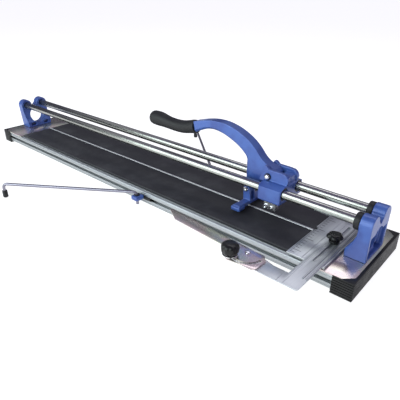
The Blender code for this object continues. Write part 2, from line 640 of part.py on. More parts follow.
def build_lever():
    outline = [(-0.2292, 0.0737), (-0.2242, 0.047), (-0.208, 0.055, True), (-0.178, 0.065, True),
               (-0.147, 0.0635, True), (-0.117, 0.054, True), (-0.089, 0.04, True),
               (-0.068, 0.0225), (-0.068, -0.0225), (-0.034, -0.0249), (-0.021, -0.0249),
               (-0.021, -LEVER_DROP), (0.017, -LEVER_DROP), (0.018, -0.001), (0.0155, 0.0085),
               (0.0095, 0.0145), (0.001, 0.017), (-0.013, 0.0215, True), (-0.026, 0.0295, True),
               (-0.044, 0.048, True), (-0.063, 0.063, True), (-0.091, 0.077, True),
               (-0.12, 0.0855, True), (-0.151, 0.0885, True), (-0.185, 0.085, True)]
    lever = sketch("lever_casting", from_pivot(outline), "Y", -LEVER_HALF_WIDTH,
                   LEVER_HALF_WIDTH, False, 4)
    inside_low, inside_high = from_pivot([(-0.223, -0.050), (-0.0675, 0.066)])
    chamfer_edges(lever, LEVER_CHAMFER, LEVER_HALF_WIDTH, inside_low, inside_high)
    bevel(lever, 0.0015, 1, 50)
    hanger = box("foot_hanger",
                 (BREAKER_AXIS[0] - 0.0065, -HANGER_HALF_WIDTH, BREAKER_AXIS[2] - 0.0065),
                 (BREAKER_AXIS[0] + 0.0100, HANGER_HALF_WIDTH, BREAKER_AXIS[2] + 0.0365), True)
    tang_path = [(x, 0.0, z) for x, z, _ in from_pivot(GRIP_PATH[3:] + [(-0.213, 0.0625, 1.0)])]
    tang = tube("tang", tang_path, [TANG_RADIUS] * len(tang_path), True, 2)
    join(lever, hanger, tang)
    cut(lever, cylinder("lever_bore", PIVOT, PIVOT_BOLT_RADIUS + GAP, 0.2, "Y", 20, True))
    cut(lever, cylinder("hanger_bore", BREAKER_AXIS, BREAKER_BOLT_RADIUS + GAP, 0.2, "Y", 16,
                        True))
    finish(lever, "blue_paint", origin=PIVOT)

    path = [(x, 0.0, z) for x, z, _ in from_pivot(GRIP_PATH)]
    grip = tube("grip", path, [GRIP_RADIUS * scale for _, _, scale in GRIP_PATH], False, 4)
    core_path = [(tang_path[0][0] - 0.0005, 0.0, tang_path[0][2])] + tang_path[1:]
    core = tube("grip_core", core_path, [TANG_RADIUS + GAP] * len(core_path), True, 2)
    finish(cut(grip, core), "rubber", origin=PIVOT)


def build_score_head():
    x, _, z = WHEEL_AXIS
    holder = box("wheel_holder", (HOLDER_LEFT, -HOLDER_HALF_WIDTH, z - 0.0065),
                 (HOLDER_RIGHT, HOLDER_HALF_WIDTH, LEVER_FOOT - GAP))
    bevel(holder, 0.0015, 1)
    slot_half = WHEEL_HALF_WIDTH + GAP
    room = WHEEL_RADIUS + 0.002
    cut(holder, box("wheel_slot", (x - room, -slot_half, z - room - THROUGH),
                    (HOLDER_RIGHT + THROUGH, slot_half, z + room), True))
    cut(holder, cylinder("axle_bore", WHEEL_AXIS, AXLE_RADIUS + GAP, 0.1, "Y", 16, True))
    bolt_axis = (HOLDER_LEFT + 0.006, 0.0, z - 0.0005)
    cut(holder, cylinder("holder_bolt_bore", bolt_axis, HOLDER_BOLT_RADIUS + GAP, 0.1, "Y", 16,
                         True))
    finish(holder, "steel", origin=PIVOT)

    profile = [(WHEEL_RADIUS - 0.0012, WHEEL_HALF_WIDTH), (WHEEL_RADIUS, 0.0002),
               (WHEEL_RADIUS, -0.0002), (WHEEL_RADIUS - 0.0012, -WHEEL_HALF_WIDTH),
               (AXLE_RADIUS + GAP, -WHEEL_HALF_WIDTH), (AXLE_RADIUS + GAP, WHEEL_HALF_WIDTH)]
    finish(turned("scoring_wheel", profile, WHEEL_AXIS, "Y", 28), "steel", origin=WHEEL_AXIS)

    head = HOLDER_HALF_WIDTH + GAP
    pin = [(0.0, head + 0.002), (0.0048, head + 0.002), (0.0048, head), (AXLE_RADIUS, head),
           (AXLE_RADIUS, -head - 0.001), (0.0, -head - 0.001)]
    finish(turned("wheel_axle", pin, WHEEL_AXIS, "Y", 16, True), "steel", origin=PIVOT)
    screw = [(0.0, head + 0.004), (0.0045, head + 0.004), (0.0055, head + 0.003), (0.0055, head),
             (HOLDER_BOLT_RADIUS, head), (HOLDER_BOLT_RADIUS, -head - 0.001),
             (0.0, -head - 0.001)]
    finish(turned("holder_bolt", screw, bolt_axis, "Y", 16, True), "chrome", origin=PIVOT)


def build_breaker():
    x, _, z = BREAKER_AXIS
    bar = x + BREAKER_SETBACK
    foot = box("breaker_foot", (bar - 0.009, -BREAKER_BAR_HALF, BREAKER_BOTTOM + 0.003),
               (bar + 0.009, BREAKER_BAR_HALF, BREAKER_BOTTOM + 0.0125))
    for label, side in (("near", -1), ("far", 1)):
        low, high = sorted((side * (BREAKER_BAR_HALF - 0.018), side * (BREAKER_BAR_HALF + 0.0055)))
        toe = box(f"foot_toe_{label}", (bar - 0.013, low, BREAKER_BOTTOM),
                  (bar + 0.013, high, BREAKER_BOTTOM + 0.0105), True)
        bevel(toe, 0.003, 2)
        join(foot, toe)
        low, high = sorted((side * (HANGER_HALF_WIDTH + GAP),
                            side * (HANGER_HALF_WIDTH + GAP + EAR_WIDTH)))
        ear = [(x - 0.008, BREAKER_BOTTOM + 0.006), (x + 0.014, BREAKER_BOTTOM + 0.006),
               *arc((x, z), 0.0085, 0, 180, 8)]
        join(foot, straight_sketch(f"foot_ear_{label}", ear, "Y", low, high, True))
    cut(foot, cylinder("foot_bore", BREAKER_AXIS, BREAKER_BOLT_RADIUS + GAP, 0.1, "Y", 16,
                       True))
    finish(foot, "blue_paint", origin=BREAKER_AXIS)
    face = HANGER_HALF_WIDTH + EAR_WIDTH + 2 * GAP
    profile = [(0.0, face + 0.005), (0.005, face + 0.005), (0.006, face + 0.004), (0.006, face),
               (BREAKER_BOLT_RADIUS, face), (BREAKER_BOLT_RADIUS, -face - 0.002),
               (0.0, -face - 0.002)]
    finish(turned("breaker_bolt", profile, BREAKER_AXIS, "Y", 16, True), "chrome", origin=PIVOT)


# ---------------------------------------------------------------- side support arms
def rod_path(pivot, angle):
    """Centre line of a support rod: up through its clamp, outwards, and down to its tip."""
    direction = Vector((math.cos(angle), math.sin(angle), 0.0))
    foot = Vector((pivot[0], pivot[1], 0.0))
    path = [foot + Vector((0, 0, ROD_START))]
    for index in range(5):
        turn = math.pi / 2 * index / 4
        path.append(foot + direction * ROD_BEND * (1 - math.cos(turn))
                    + Vector((0, 0, ROD_HEIGHT - ROD_BEND + ROD_BEND * math.sin(turn))))
    end = foot + direction * ROD_REACH
    for index in range(5):
        turn = math.pi / 2 * index / 4
        path.append(end + direction * ROD_BEND * (math.sin(turn) - 1)
                    + Vector((0, 0, ROD_HEIGHT - ROD_BEND + ROD_BEND * math.cos(turn))))
    path.append(end + Vector((0, 0, 0.0085)))
    return path, end


def build_arm(label, side, x, angle):
    pivot = (x, side * ARM_OFFSET, 0.0)
    surface = side * HALF_WIDTH
    faces = sorted((surface + side * 0.0025, side * (ARM_OFFSET + CLAMP_HALF_LENGTH)))
    block = box(f"arm_clamp_{label}",
                (x - CLAMP_HALF_LENGTH, faces[0], CLAMP_BOTTOM),
                (x + CLAMP_HALF_LENGTH, faces[1], CLAMP_TOP))
    bevel(block, 0.004, 2)
    cut(block, cylinder(f"clamp_bore_{label}", pivot, ROD_RADIUS + GAP, 0.2, "Z", 16, True))
    finish(block, "blue_paint", origin=(x, surface, SLOT_HEIGHT))

    lip = surface - side * (SLOT_LIP + GAP)
    deep = surface - side * (SLOT_DEPTH - GAP)
    low, high = sorted((lip, deep))
    slider = box(f"arm_slider_{label}", (x - SLIDER_BACK, low, SLOT_HEIGHT - SLOT_CHAMBER / 2 + GAP),
                 (x + SLIDER_FRONT, high, SLOT_HEIGHT + SLOT_CHAMBER / 2 - GAP))
    low, high = sorted((surface + side * 0.0022, surface - side * (SLOT_LIP + 0.002)))
    neck = box(f"slider_neck_{label}",
               (x - SLIDER_BACK + 0.0005, low, SLOT_HEIGHT - SLOT_MOUTH / 2 + GAP),
               (x + SLIDER_FRONT - 0.0005, high, SLOT_HEIGHT + SLOT_MOUTH / 2 - GAP), True)
    finish(join(slider, neck), "black_plastic", origin=(x, surface, SLOT_HEIGHT), smooth=False)

    collar = cylinder(f"arm_collar_{label}", (*pivot[:2], CLAMP_TOP + GAP + COLLAR_HEIGHT / 2),
                      COLLAR_RADIUS, COLLAR_HEIGHT, "Z", 20)
    cut(collar, cylinder(f"collar_bore_{label}", pivot, ROD_RADIUS + GAP, 0.2, "Z", 16, True))
    finish(collar, "black_plastic", origin=pivot)

    path, end = rod_path(pivot, angle)
    finish(tube(f"arm_rod_{label}", path, [ROD_RADIUS] * len(path), False, 2), "chrome",
           origin=pivot)
    profile = [(0.0, 0.008), (ROD_RADIUS + GAP, 0.008), (ROD_RADIUS + GAP, 0.021),
               (TIP_RADIUS - 0.0008, 0.021), (TIP_RADIUS, 0.0195), (TIP_RADIUS, 0.003),
               (TIP_RADIUS - 0.0013, 0.001), (0.0, 0.001)]
    tip = turned(f"arm_tip_{label}", profile, (end.x, end.y, 0.0), "Z", 16)
    finish(tip, "rubber", origin=pivot)


# ---------------------------------------------------------------- measuring fence
def build_fence():
    rail = box("fence_rail", (FENCE_RIGHT - 0.032, -FENCE_GUIDE_HALF, DECK),
               (FENCE_RIGHT + 0.003, FENCE_GUIDE_HALF, FENCE_BOTTOM - GAP))
    stud_axis = (*FENCE_STUD, FENCE_TOP)
    cut(rail, cylinder("rail_stud_bore", stud_axis, STUD_RADIUS + GAP, 0.1, "Z", 16, True))
    finish(rail, "aluminium", smooth=False)

    outline = [(FENCE_LEFT, FENCE_FRONT), (TAIL_LEFT, FENCE_FRONT), (TAIL_LEFT, LEG_INNER),
               (LEG_LEFT, LEG_INNER), (LEG_LEFT, LEG_OUTER + 0.002),
               (LEG_LEFT + 0.002, LEG_OUTER),
               *arc((FENCE_RIGHT - LEG_CORNER, LEG_OUTER + LEG_CORNER), LEG_CORNER, -90, 0, 4),
               (FENCE_RIGHT, FENCE_FAR), (FENCE_LEFT, FENCE_FAR), (FENCE_LEFT, FENCE_NOTCH),
               (FENCE_LEFT + FENCE_NOTCH, 0.0), (FENCE_LEFT, -FENCE_NOTCH)]
    plate = straight_sketch("fence_plate", outline, "Z", FENCE_BOTTOM, FENCE_TOP)
    for index, offset in enumerate(LIP_OFFSETS):
        middle = FENCE_RIGHT - offset
        lip = box(f"fence_lip_{index}", (middle - LIP_HALF_WIDTH, LEG_OUTER + 0.035,
                                         FENCE_TOP - 0.001),
                  (middle + LIP_HALF_WIDTH, FENCE_FAR, FENCE_TOP + LIP_HEIGHT), True)
        join(plate, lip)
    x = FENCE_STUD[0]
    slot = [*arc((x, FENCE_SLOT_LOW), STUD_RADIUS + SLOT_PLAY, 180, 360, 6),
            *arc((x, FENCE_SLOT_HIGH), STUD_RADIUS + SLOT_PLAY, 0, 180, 6)]
    cut(plate, straight_sketch("fence_slot", slot, "Z", FENCE_BOTTOM - THROUGH,
                               FENCE_TOP + THROUGH, True))
    finish(plate, "aluminium", origin=(x, FENCE_STUD[1], FENCE_BOTTOM), smooth=False)

    stud = cylinder("fence_stud", (*FENCE_STUD, FENCE_TOP + 0.0005), STUD_RADIUS, 0.017, "Z",
                    16)
    finish(stud, "steel")
    washer = cylinder("fence_washer", (*FENCE_STUD, FENCE_TOP + GAP + FENCE_WASHER / 2), 0.009,
                      FENCE_WASHER, "Z", 20)
    finish(cut(washer, cylinder("fence_washer_bore", stud_axis, STUD_RADIUS + GAP, 0.1, "Z", 16,
                                True)), "black_plastic")
    base = FENCE_TOP + 2 * GAP + FENCE_WASHER
    bore_top = FENCE_TOP + 0.0096
    profile = [(0.0, base + 0.0190), (0.010, base + 0.0188), (0.0150, base + 0.0173),
               (0.0170, base + 0.0145), (0.0170, base + 0.0120), (0.0145, base + 0.0095),
               (0.0080, base + 0.0088), (0.0080, base + 0.0055), (0.0110, base + 0.0045),
               (0.0110, base), (STUD_RADIUS + GAP, base),
               (STUD_RADIUS + GAP, bore_top), (0.0, bore_top)]
    finish(turned("fence_knob", profile, (*FENCE_STUD, 0.0), "Z", 24), "black_plastic",
           origin=(*FENCE_STUD, 0.06))


def blade_point(along, across):
    """Point on the swivel blade from distances along it and towards the bed."""
    direction = Vector((-math.cos(BLADE_LEAN), math.sin(BLADE_LEAN)))
    normal = Vector((math.sin(BLADE_LEAN), math.cos(BLADE_LEAN)))
    point = Vector(BLADE_PIVOT) + direction * along + normal * across
    return (point.x, point.y)


def build_angle_gauge():
    px, py = BLADE_PIVOT
    knob_x = px + BLADE_SLOT_RADIUS * math.cos(BLADE_KNOB_ANGLE)
    knob_y = py + BLADE_SLOT_RADIUS * math.sin(BLADE_KNOB_ANGLE)
    carrier_top = FENCE_BOTTOM - GAP
    outline = [(knob_x - 0.011, knob_y - 0.004), (knob_x - 0.006, LEG_OUTER + 0.0035),
               (LEG_LEFT + 0.042, LEG_OUTER + 0.0035), (LEG_LEFT + 0.042, LEG_INNER - 0.004),
               (px + 0.012, py + 0.013), (px - 0.012, py + 0.013), (knob_x - 0.011, knob_y + 0.012)]
    carrier = straight_sketch("gauge_carrier", outline, "Z", carrier_top - CARRIER_THICKNESS,
                              carrier_top)
    pivot_axis = (px, py, FENCE_TOP)
    knob_axis = (knob_x, knob_y, FENCE_TOP)
    for name, axis_point in (("carrier_pivot_bore", pivot_axis), ("carrier_stud_bore", knob_axis)):
        cut(carrier, cylinder(name, axis_point, STUD_RADIUS + GAP, 0.1, "Z", 16, True))
    finish(carrier, "aluminium", smooth=False)

    inner, outer = BLADE_INNER, BLADE_INNER - BLADE_WIDTH
    blade_outline = [blade_point(-0.030, inner), blade_point(BLADE_REACH - 0.004, inner),
                     blade_point(BLADE_REACH, inner - 0.006),
                     blade_point(BLADE_REACH - 0.042, outer), blade_point(0.046, outer)]
    blade_outline += arc(BLADE_PIVOT, BLADE_SLOT_RADIUS + 0.0123, -157, -112, 4)
    blade_outline += [(px + 0.012, LEG_OUTER - 0.003), (px + 0.036, LEG_OUTER - 0.003),
                      (px + 0.0425, py - 0.030), (px + 0.0435, py - 0.002)]
    blade = straight_sketch("angle_blade", blade_outline, "Z", FENCE_BOTTOM, BLADE_TOP)
    half = STUD_RADIUS + SLOT_PLAY
    ring = arc(BLADE_PIVOT, BLADE_SLOT_RADIUS + half, -140, -8, 16)
    ring += arc(BLADE_PIVOT, BLADE_SLOT_RADIUS - half, -8, -140, 16)
    cut(blade, straight_sketch("blade_slot", ring, "Z", FENCE_BOTTOM - THROUGH,
                               BLADE_TOP + THROUGH, True))
    cut(blade, cylinder("blade_pivot_bore", pivot_axis, STUD_RADIUS + GAP, 0.1, "Z", 16, True))
    finish(blade, "chrome", origin=(px, py, FENCE_BOTTOM), smooth=False)

    head = BLADE_TOP + GAP
    screw_end = carrier_top - CARRIER_THICKNESS + 0.0001
    profile = [(0.0, head + 0.0026), (0.004, head + 0.0024), (0.006, head + 0.001), (0.006, head),
               (STUD_RADIUS, head), (STUD_RADIUS, screw_end), (0.0, screw_end)]
    finish(turned("blade_pivot_screw", profile, (px, py, 0.0), "Z", 16), "steel")
    stud = cylinder("blade_stud", (knob_x, knob_y, BLADE_TOP + 0.0028), STUD_RADIUS, 0.0146, "Z",
                    16)
    finish(stud, "steel")
    washer = cylinder("blade_washer", (knob_x, knob_y, head + BLADE_WASHER / 2), 0.0160,
                      BLADE_WASHER, "Z", 24)
    cut(washer, cylinder("blade_washer_bore", knob_axis, STUD_RADIUS + GAP, 0.1, "Z", 16, True))
    finish(washer, "steel")
    base = head + BLADE_WASHER + GAP
    bore_top = BLADE_TOP + 0.0105
    profile = [(0.0, base + 0.0235), (0.009, base + 0.0232), (0.0150, base + 0.0215),
               (0.0182, base + 0.0180), (0.0184, base + 0.0120), (0.0172, base + 0.0050),
               (0.0140, base), (STUD_RADIUS + GAP, base), (STUD_RADIUS + GAP, bore_top),
               (0.0, bore_top)]
    finish(turned("blade_knob", profile, (knob_x, knob_y, 0.0), "Z", 28), "black_plastic",
           origin=(knob_x, knob_y, 0.06))


# ---------------------------------------------------------------- assembly
clear_scene()
groups = {name: make_collection(name) for name in (COLLECTION, CUTTERS)}
build_bed()
build_end_cap("left", -1)
build_end_cap("right", 1)
build_end_plate("left", -1, LEFT_PLATE_INNER)
build_end_plate("right", 1, RIGHT_PLATE_INNER)
build_pads()
build_bracket("left", -1)
build_bracket("right", 1)
build_rails()
build_carriage()
build_pivot_fixings()
build_lever()
build_score_head()
build_breaker()
build_arm("near", -1, NEAR_ARM_X, NEAR_ARM_ANGLE)
build_arm("far", 1, FAR_ARM_X, FAR_ARM_ANGLE)
build_fence()
build_angle_gauge()
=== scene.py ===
"""Finished look of a long manual tile cutter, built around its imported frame.

+X runs along the guide rails, +Y across the bed and +Z up, all in metres.
"""

import logging
import math
from dataclasses import dataclass
from enum import Enum
from typing import Iterable, Sequence

import bmesh
import bpy
from mathutils import Matrix, Vector


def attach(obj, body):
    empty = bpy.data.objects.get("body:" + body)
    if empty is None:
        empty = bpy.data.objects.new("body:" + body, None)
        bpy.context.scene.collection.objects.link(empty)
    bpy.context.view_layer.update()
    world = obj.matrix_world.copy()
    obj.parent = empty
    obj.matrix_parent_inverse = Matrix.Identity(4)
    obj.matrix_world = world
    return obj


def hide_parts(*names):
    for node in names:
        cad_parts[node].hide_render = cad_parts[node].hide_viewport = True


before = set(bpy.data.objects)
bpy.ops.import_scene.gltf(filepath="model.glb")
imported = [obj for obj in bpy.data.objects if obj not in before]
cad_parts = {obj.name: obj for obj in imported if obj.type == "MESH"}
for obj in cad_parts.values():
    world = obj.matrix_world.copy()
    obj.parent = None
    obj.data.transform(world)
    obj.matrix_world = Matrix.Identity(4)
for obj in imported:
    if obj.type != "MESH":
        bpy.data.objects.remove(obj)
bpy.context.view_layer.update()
LOG = logging.getLogger("tile_cutter")
PLAY = 0.0003                    # room left between touching pieces

Colour = tuple[float, float, float]
Point = tuple[float, float, float]
Flat = tuple[float, float]


class Axis(Enum):
    """A direction that a piece is turned about or thickened along."""

    X = "X"
    Y = "Y"
    Z = "Z"

    def standing(self) -> Matrix:
        """Rotation that takes +Z to this axis."""
        return {
            Axis.X: Matrix.Rotation(math.pi / 2, 4, "Y"),
            Axis.Y: Matrix.Rotation(-math.pi / 2, 4, "X"),
            Axis.Z: Matrix.Identity(4),
        }[self]

    def page(self) -> Matrix:
        """Frame whose page axes u, v are y, z for X, x, z for Y and x, y for Z."""
        return {
            Axis.X: Matrix(((0, 0, 1, 0), (1, 0, 0, 0), (0, 1, 0, 0), (0, 0, 0, 1))),
            Axis.Y: Matrix(((1, 0, 0, 0), (0, 0, -1, 0), (0, 1, 0, 0), (0, 0, 0, 1))),
            Axis.Z: Matrix.Identity(4),
        }[self]


class Slot(Enum):
    """The record's material slots."""

    BLUE = "blue_paint"
    ALUMINIUM = "aluminium"
    CHROME = "chrome"
    STEEL = "steel"
    PLATE = "plate"
    PLASTIC = "black_plastic"
    RUBBER = "rubber"


# ---------------------------------------------------------------- shader arithmetic
class Wire:
    """A shader socket that takes part in Python arithmetic."""

    def __init__(self, graph: "Graph", socket: bpy.types.NodeSocket) -> None:
        """Keeps the socket and the graph it belongs to."""
        self.graph = graph
        self.socket = socket

    def math(self, operation: str, *operands: "Wire | float") -> "Wire":
        """Adds a Math node.

        Args:
            operation: the node's operation.
            operands: its inputs, in order.

        Returns:
            The node's value.
        """
        return self.graph.node("ShaderNodeMath", {"operation": operation}, dict(enumerate(operands)))

    def __add__(self, other: "Wire | float") -> "Wire":
        """Sum."""
        return self.math("ADD", self, other)

    def __sub__(self, other: "Wire | float") -> "Wire":
        """Difference."""
        return self.math("SUBTRACT", self, other)

    def __rsub__(self, other: "Wire | float") -> "Wire":
        """Difference from a number."""
        return self.math("SUBTRACT", other, self)

    def __mul__(self, other: "Wire | float") -> "Wire":
        """Product."""
        return self.math("MULTIPLY", self, other)

    def __truediv__(self, other: "Wire | float") -> "Wire":
        """Quotient."""
        return self.math("DIVIDE", self, other)

    def __gt__(self, other: "Wire | float") -> "Wire":
        """1 where this is the larger."""
        return self.math("GREATER_THAN", self, other)

    def __lt__(self, other: "Wire | float") -> "Wire":
        """1 where this is the smaller."""
        return self.math("LESS_THAN", self, other)

    __radd__ = __add__
    __rmul__ = __mul__

    def part(self) -> "Wire":
        """The fraction left after whole numbers are taken away."""
        return self.math("FRACT", self)

    def top(self, other: "Wire | float") -> "Wire":
        """The larger of two values."""
        return self.math("MAXIMUM", self, other)

    def spread(self, low: float, high: float, start: float = 0.0, stop: float = 1.0) -> "Wire":
        """Maps low..high to start..stop, smoothly and clamped.

        Args:
            low: value that gives start.
            high: value that gives stop.
            start: result at low.
            stop: result at high.

        Returns:
            The mapped value.
        """
        return self.graph.node("ShaderNodeMapRange", {"interpolation_type": "SMOOTHSTEP"},
                               {0: self, 1: low, 2: high, 3: start, 4: stop})


def set_stops(ramp: bpy.types.ColorRamp, stops: Sequence[tuple[float, Colour]]) -> None:
    """Sets a ramp's stops.

    Args:
        ramp: the ramp to fill.
        stops: positions and colours, in order.
    """
    while len(ramp.elements) < len(stops):
        ramp.elements.new(1.0)
    for element, (position, colour) in zip(ramp.elements, stops):
        element.position = position
        element.color = (*colour, 1.0)


class Graph:
    """The node graph of one material."""

    def __init__(self, name: str) -> None:
        """Makes the material with a Principled shader and its output."""
        self.material = bpy.data.materials.new(name)
        self.material.use_nodes = True
        self.tree = self.material.node_tree
        self.shader = self.tree.nodes["Principled BSDF"]

    def node(self, kind: str, settings: dict | None = None,
             inputs: dict | None = None, output: int | str = 0) -> Wire:
        """Adds any node.

        Args:
            kind: the node's type.
            settings: attributes, set first; "stops" gives a ramp's positions and colours.
            inputs: values or wires for its sockets, by index or name.
            output: index or name of the socket to return.

        Returns:
            The chosen output.
        """
        node = self.tree.nodes.new(kind)
        for key, value in (settings or {}).items():
            if key == "stops":
                set_stops(node.color_ramp, value)
            else:
                setattr(node, key, value)
        for key, value in (inputs or {}).items():
            self.feed(node.inputs[key], value)
        return Wire(self, node.outputs[output])

    def feed(self, socket: bpy.types.NodeSocket, value: "Wire | float | Colour") -> None:
        """Links a wire to a socket, or sets the socket's own value.

        Args:
            socket: the socket to fill.
            value: a wire, number, colour or vector.
        """
        if isinstance(value, Wire):
            self.tree.links.new(value.socket, socket)
        elif isinstance(value, tuple) and len(value) == 3 and socket.type == "RGBA":
            socket.default_value = (*value, 1.0)
        else:
            socket.default_value = value

    def place(self) -> Wire:
        """Position on the piece, in metres."""
        return self.node("ShaderNodeTexCoord", output="Object")

    def along(self, axis: Axis) -> Wire:
        """One coordinate of the position on the piece."""
        return self.node("ShaderNodeSeparateXYZ", inputs={0: self.place()}, output=axis.value)

    def grain(self, scale: float, detail: float = 3.0, stretch: Point = (1.0, 1.0, 1.0),
              rough: float = 0.5) -> Wire:
        """Noise on the piece.

        Args:
            scale: cells per metre.
            detail: octaves.
            stretch: multiplies the scale along x, y and z.
            rough: weight of the fine octaves.

        Returns:
            A value about 0.5.
        """
        vector = self.node("ShaderNodeMapping", inputs={"Vector": self.place(), "Scale": stretch})
        return self.node("ShaderNodeTexNoise",
                         inputs={"Vector": vector, "Scale": scale, "Detail": detail,
                                 "Roughness": rough})

    def cells(self, scale: float) -> Wire:
        """Distance to the nearest of scattered points, in cell widths."""
        return self.node("ShaderNodeTexVoronoi", inputs={"Vector": self.place(), "Scale": scale})

    def mix(self, mask: "Wire | float", low: "Wire | Colour", high: "Wire | Colour") -> Wire:
        """Blends two colours.

        Args:
            mask: 0 gives low and 1 gives high.
            low: first colour.
            high: second colour.

        Returns:
            The blended colour.
        """
        return self.node("ShaderNodeMix", {"data_type": "RGBA"}, {0: mask, 6: low, 7: high}, 2)

    def bump(self, height: Wire, depth: float, strength: float = 1.0) -> None:
        """Raises the surface by a height map.

        Args:
            height: value from 0 to 1.
            depth: metres that 1 stands for.
            strength: how much of it shows.
        """
        normal = self.node("ShaderNodeBump",
                           inputs={"Height": height, "Distance": depth, "Strength": strength})
        self.feed(self.shader.inputs["Normal"], normal)

    def surface(self, colour: "Wire | Colour", roughness: "Wire | float", metallic: float,
                coat: float = 0.0, specular: float = 0.5) -> bpy.types.Material:
        """Fills the shader.

        Args:
            colour: base colour.
            roughness: roughness.
            metallic: metallic value.
            coat: weight of a clear coat.
            specular: level of the plain reflection.

        Returns:
            The finished material.
        """
        self.feed(self.shader.inputs["Base Color"], colour)
        self.feed(self.shader.inputs["Roughness"], roughness)
        self.shader.inputs["Metallic"].default_value = metallic
        self.shader.inputs["Coat Weight"].default_value = coat
        self.shader.inputs["Coat Roughness"].default_value = 0.12
        self.shader.inputs["Specular IOR Level"].default_value = specular
        return self.material


# ---------------------------------------------------------------- finishes
@dataclass(frozen=True)
class CastPaint:
    """Metallic paint on rough castings, with a slight orange peel and rubbed spots."""

    colour: Colour = (0.050, 0.112, 0.37)
    shade: Colour = (0.034, 0.072, 0.28)
    bare: Colour = (0.11, 0.18, 0.43)

    def build(self, name: str = "blue_cast_paint") -> bpy.types.Material:
        """Makes the material."""
        graph = Graph(name)
        cloud = graph.grain(26.0, 4.0)
        fleck = graph.grain(2600.0, 1.0).spread(0.62, 0.72)
        rub = graph.grain(210.0, 6.0, rough=0.7).spread(0.66, 0.74)
        tone = graph.mix(cloud.spread(0.35, 0.65), self.shade, self.colour)
        tone = graph.mix(fleck * 0.25, tone, self.bare)
        tone = graph.mix(rub * 0.4, tone, self.bare)
        peel = graph.grain(420.0, 2.0) * 0.7 + graph.grain(1700.0, 2.0) * 0.3
        graph.bump(peel, 0.00035, 0.35)
        rough = cloud.spread(0.3, 0.7, 0.34, 0.46) + rub * 0.1
        return graph.surface(tone, rough, 0.2, 0.25)


@dataclass(frozen=True)
class DrawnAluminium:
    """Aluminium with fine lines left by the die or the brush."""

    colour: Colour = (0.34, 0.36, 0.37)
    light: Colour = (0.43, 0.45, 0.46)
    lines: Axis = Axis.X
    roughness: float = 0.36

    def stretch(self) -> Point:
        """Mapping scale that draws noise out along the lines."""
        return tuple(0.006 if axis is self.lines else 1.0 for axis in Axis)

    def tones(self, graph: Graph) -> tuple[Wire, Wire]:
        """Colour and roughness with the line pattern, whose relief is added to the surface."""
        streak = graph.grain(900.0, 4.0, self.stretch(), 0.65)
        cloud = graph.grain(9.0, 4.0)
        stain = graph.grain(60.0, 5.0, rough=0.65).spread(0.58, 0.75)
        tone = graph.mix(streak.spread(0.3, 0.7), self.colour, self.light)
        tone = graph.mix(stain * 0.18, tone, (0.38, 0.39, 0.42))
        rough = streak.spread(0.3, 0.7, self.roughness - 0.05, self.roughness + 0.08)
        graph.bump(streak, 0.00008, 0.5)
        return tone, rough + cloud.spread(0.4, 0.7, 0.0, 0.06)

    def build(self, name: str = "drawn_aluminium") -> bpy.types.Material:
        """Makes the material."""
        graph = Graph(name)
        tone, rough = self.tones(graph)
        return graph.surface(tone, rough, 0.85)


@dataclass(frozen=True)
class RulerPlate(DrawnAluminium):
    """Brushed plate with dark scale marks along its left edge."""

    edge: float = 0.526
    pitch: float = 0.005
    stroke: float = 0.0013

    def marks(self, graph: Graph, every: int, length: float) -> Wire:
        """Mask of the marks that come every so many steps.

        Args:
            graph: the material's graph.
            every: steps between marks.
            length: length of each mark.

        Returns:
            1 on a mark.
        """
        step = self.pitch * every
        on_line = (graph.along(Axis.Y) / step).part() < self.stroke / step
        return on_line * (graph.along(Axis.X) < self.edge + length)

    def build(self, name: str = "ruler_plate") -> bpy.types.Material:
        """Makes the material."""
        graph = Graph(name)
        tone, rough = self.tones(graph)
        marks = self.marks(graph, 1, 0.0060).top(self.marks(graph, 2, 0.0130))
        marks = marks.top(self.marks(graph, 10, 0.0220))
        inside = graph.along(Axis.X) > self.edge + 0.0015
        band = (graph.along(Axis.Y) > -0.112) * inside
        tone = graph.mix(marks * band, tone, (0.02, 0.02, 0.025))
        return graph.surface(tone, rough, 0.8)


@dataclass(frozen=True)
class Chrome:
    """Bright plating with wipe marks and hairlines."""

    colour: Colour = (0.80, 0.81, 0.83)
    lines: Axis = Axis.X
    roughness: float = 0.07

    def build(self, name: str = "chrome") -> bpy.types.Material:
        """Makes the material."""
        graph = Graph(name)
        stretch = tuple(0.01 if axis is self.lines else 1.0 for axis in Axis)
        hair = graph.grain(1500.0, 2.0, stretch)
        smear = graph.grain(14.0, 5.0, rough=0.6)
        spots = graph.grain(300.0, 4.0).spread(0.64, 0.7)
        dull = tuple(channel * 0.86 for channel in self.colour)
        tone = graph.mix(smear.spread(0.35, 0.7), self.colour, dull)
        tone = graph.mix(spots * 0.15, tone, tuple(channel * 0.6 for channel in self.colour))
        rough = smear.spread(0.4, 0.7, self.roughness, self.roughness + 0.08) + spots * 0.08
        graph.bump(hair, 0.000008, 0.3)
        return graph.surface(tone, rough, 1.0)


@dataclass(frozen=True)
class TintedSheet:
    """Mirror-finish sheet whose colour holds faint pink, straw and blue patches of painted reflection.
    """

    base: Colour = (0.54, 0.57, 0.54)
    roughness: float = 0.19

    def build(self, name: str = "polished_sheet") -> bpy.types.Material:
        """Makes the material."""
        graph = Graph(name)
        # painted reflection: teal, straw, pink and blue patches in the base colour stand in for
        # reflected surroundings
        painted_reflection_cloud = graph.grain(11.0, 2.0, (1.0, 1.6, 1.0))
        painted_reflection_tint = graph.node("ShaderNodeValToRGB",
                          {"stops": [(0.30, (0.50, 0.56, 0.55)), (0.45, (0.60, 0.62, 0.50)),
                                     (0.55, (0.64, 0.52, 0.52)), (0.70, (0.52, 0.52, 0.58))]},
                          {0: painted_reflection_cloud})
        wipe = graph.grain(35.0, 6.0, (0.2, 1.0, 1.0), 0.65)
        scratch = graph.grain(2200.0, 1.0, (0.02, 1.0, 1.0))
        tone = graph.mix(wipe.spread(0.35, 0.65) * 0.35, painted_reflection_tint, self.base)
        graph.bump(scratch, 0.000008, 0.2)
        return graph.surface(tone, wipe.spread(0.3, 0.7, self.roughness, self.roughness + 0.12), 0.92)


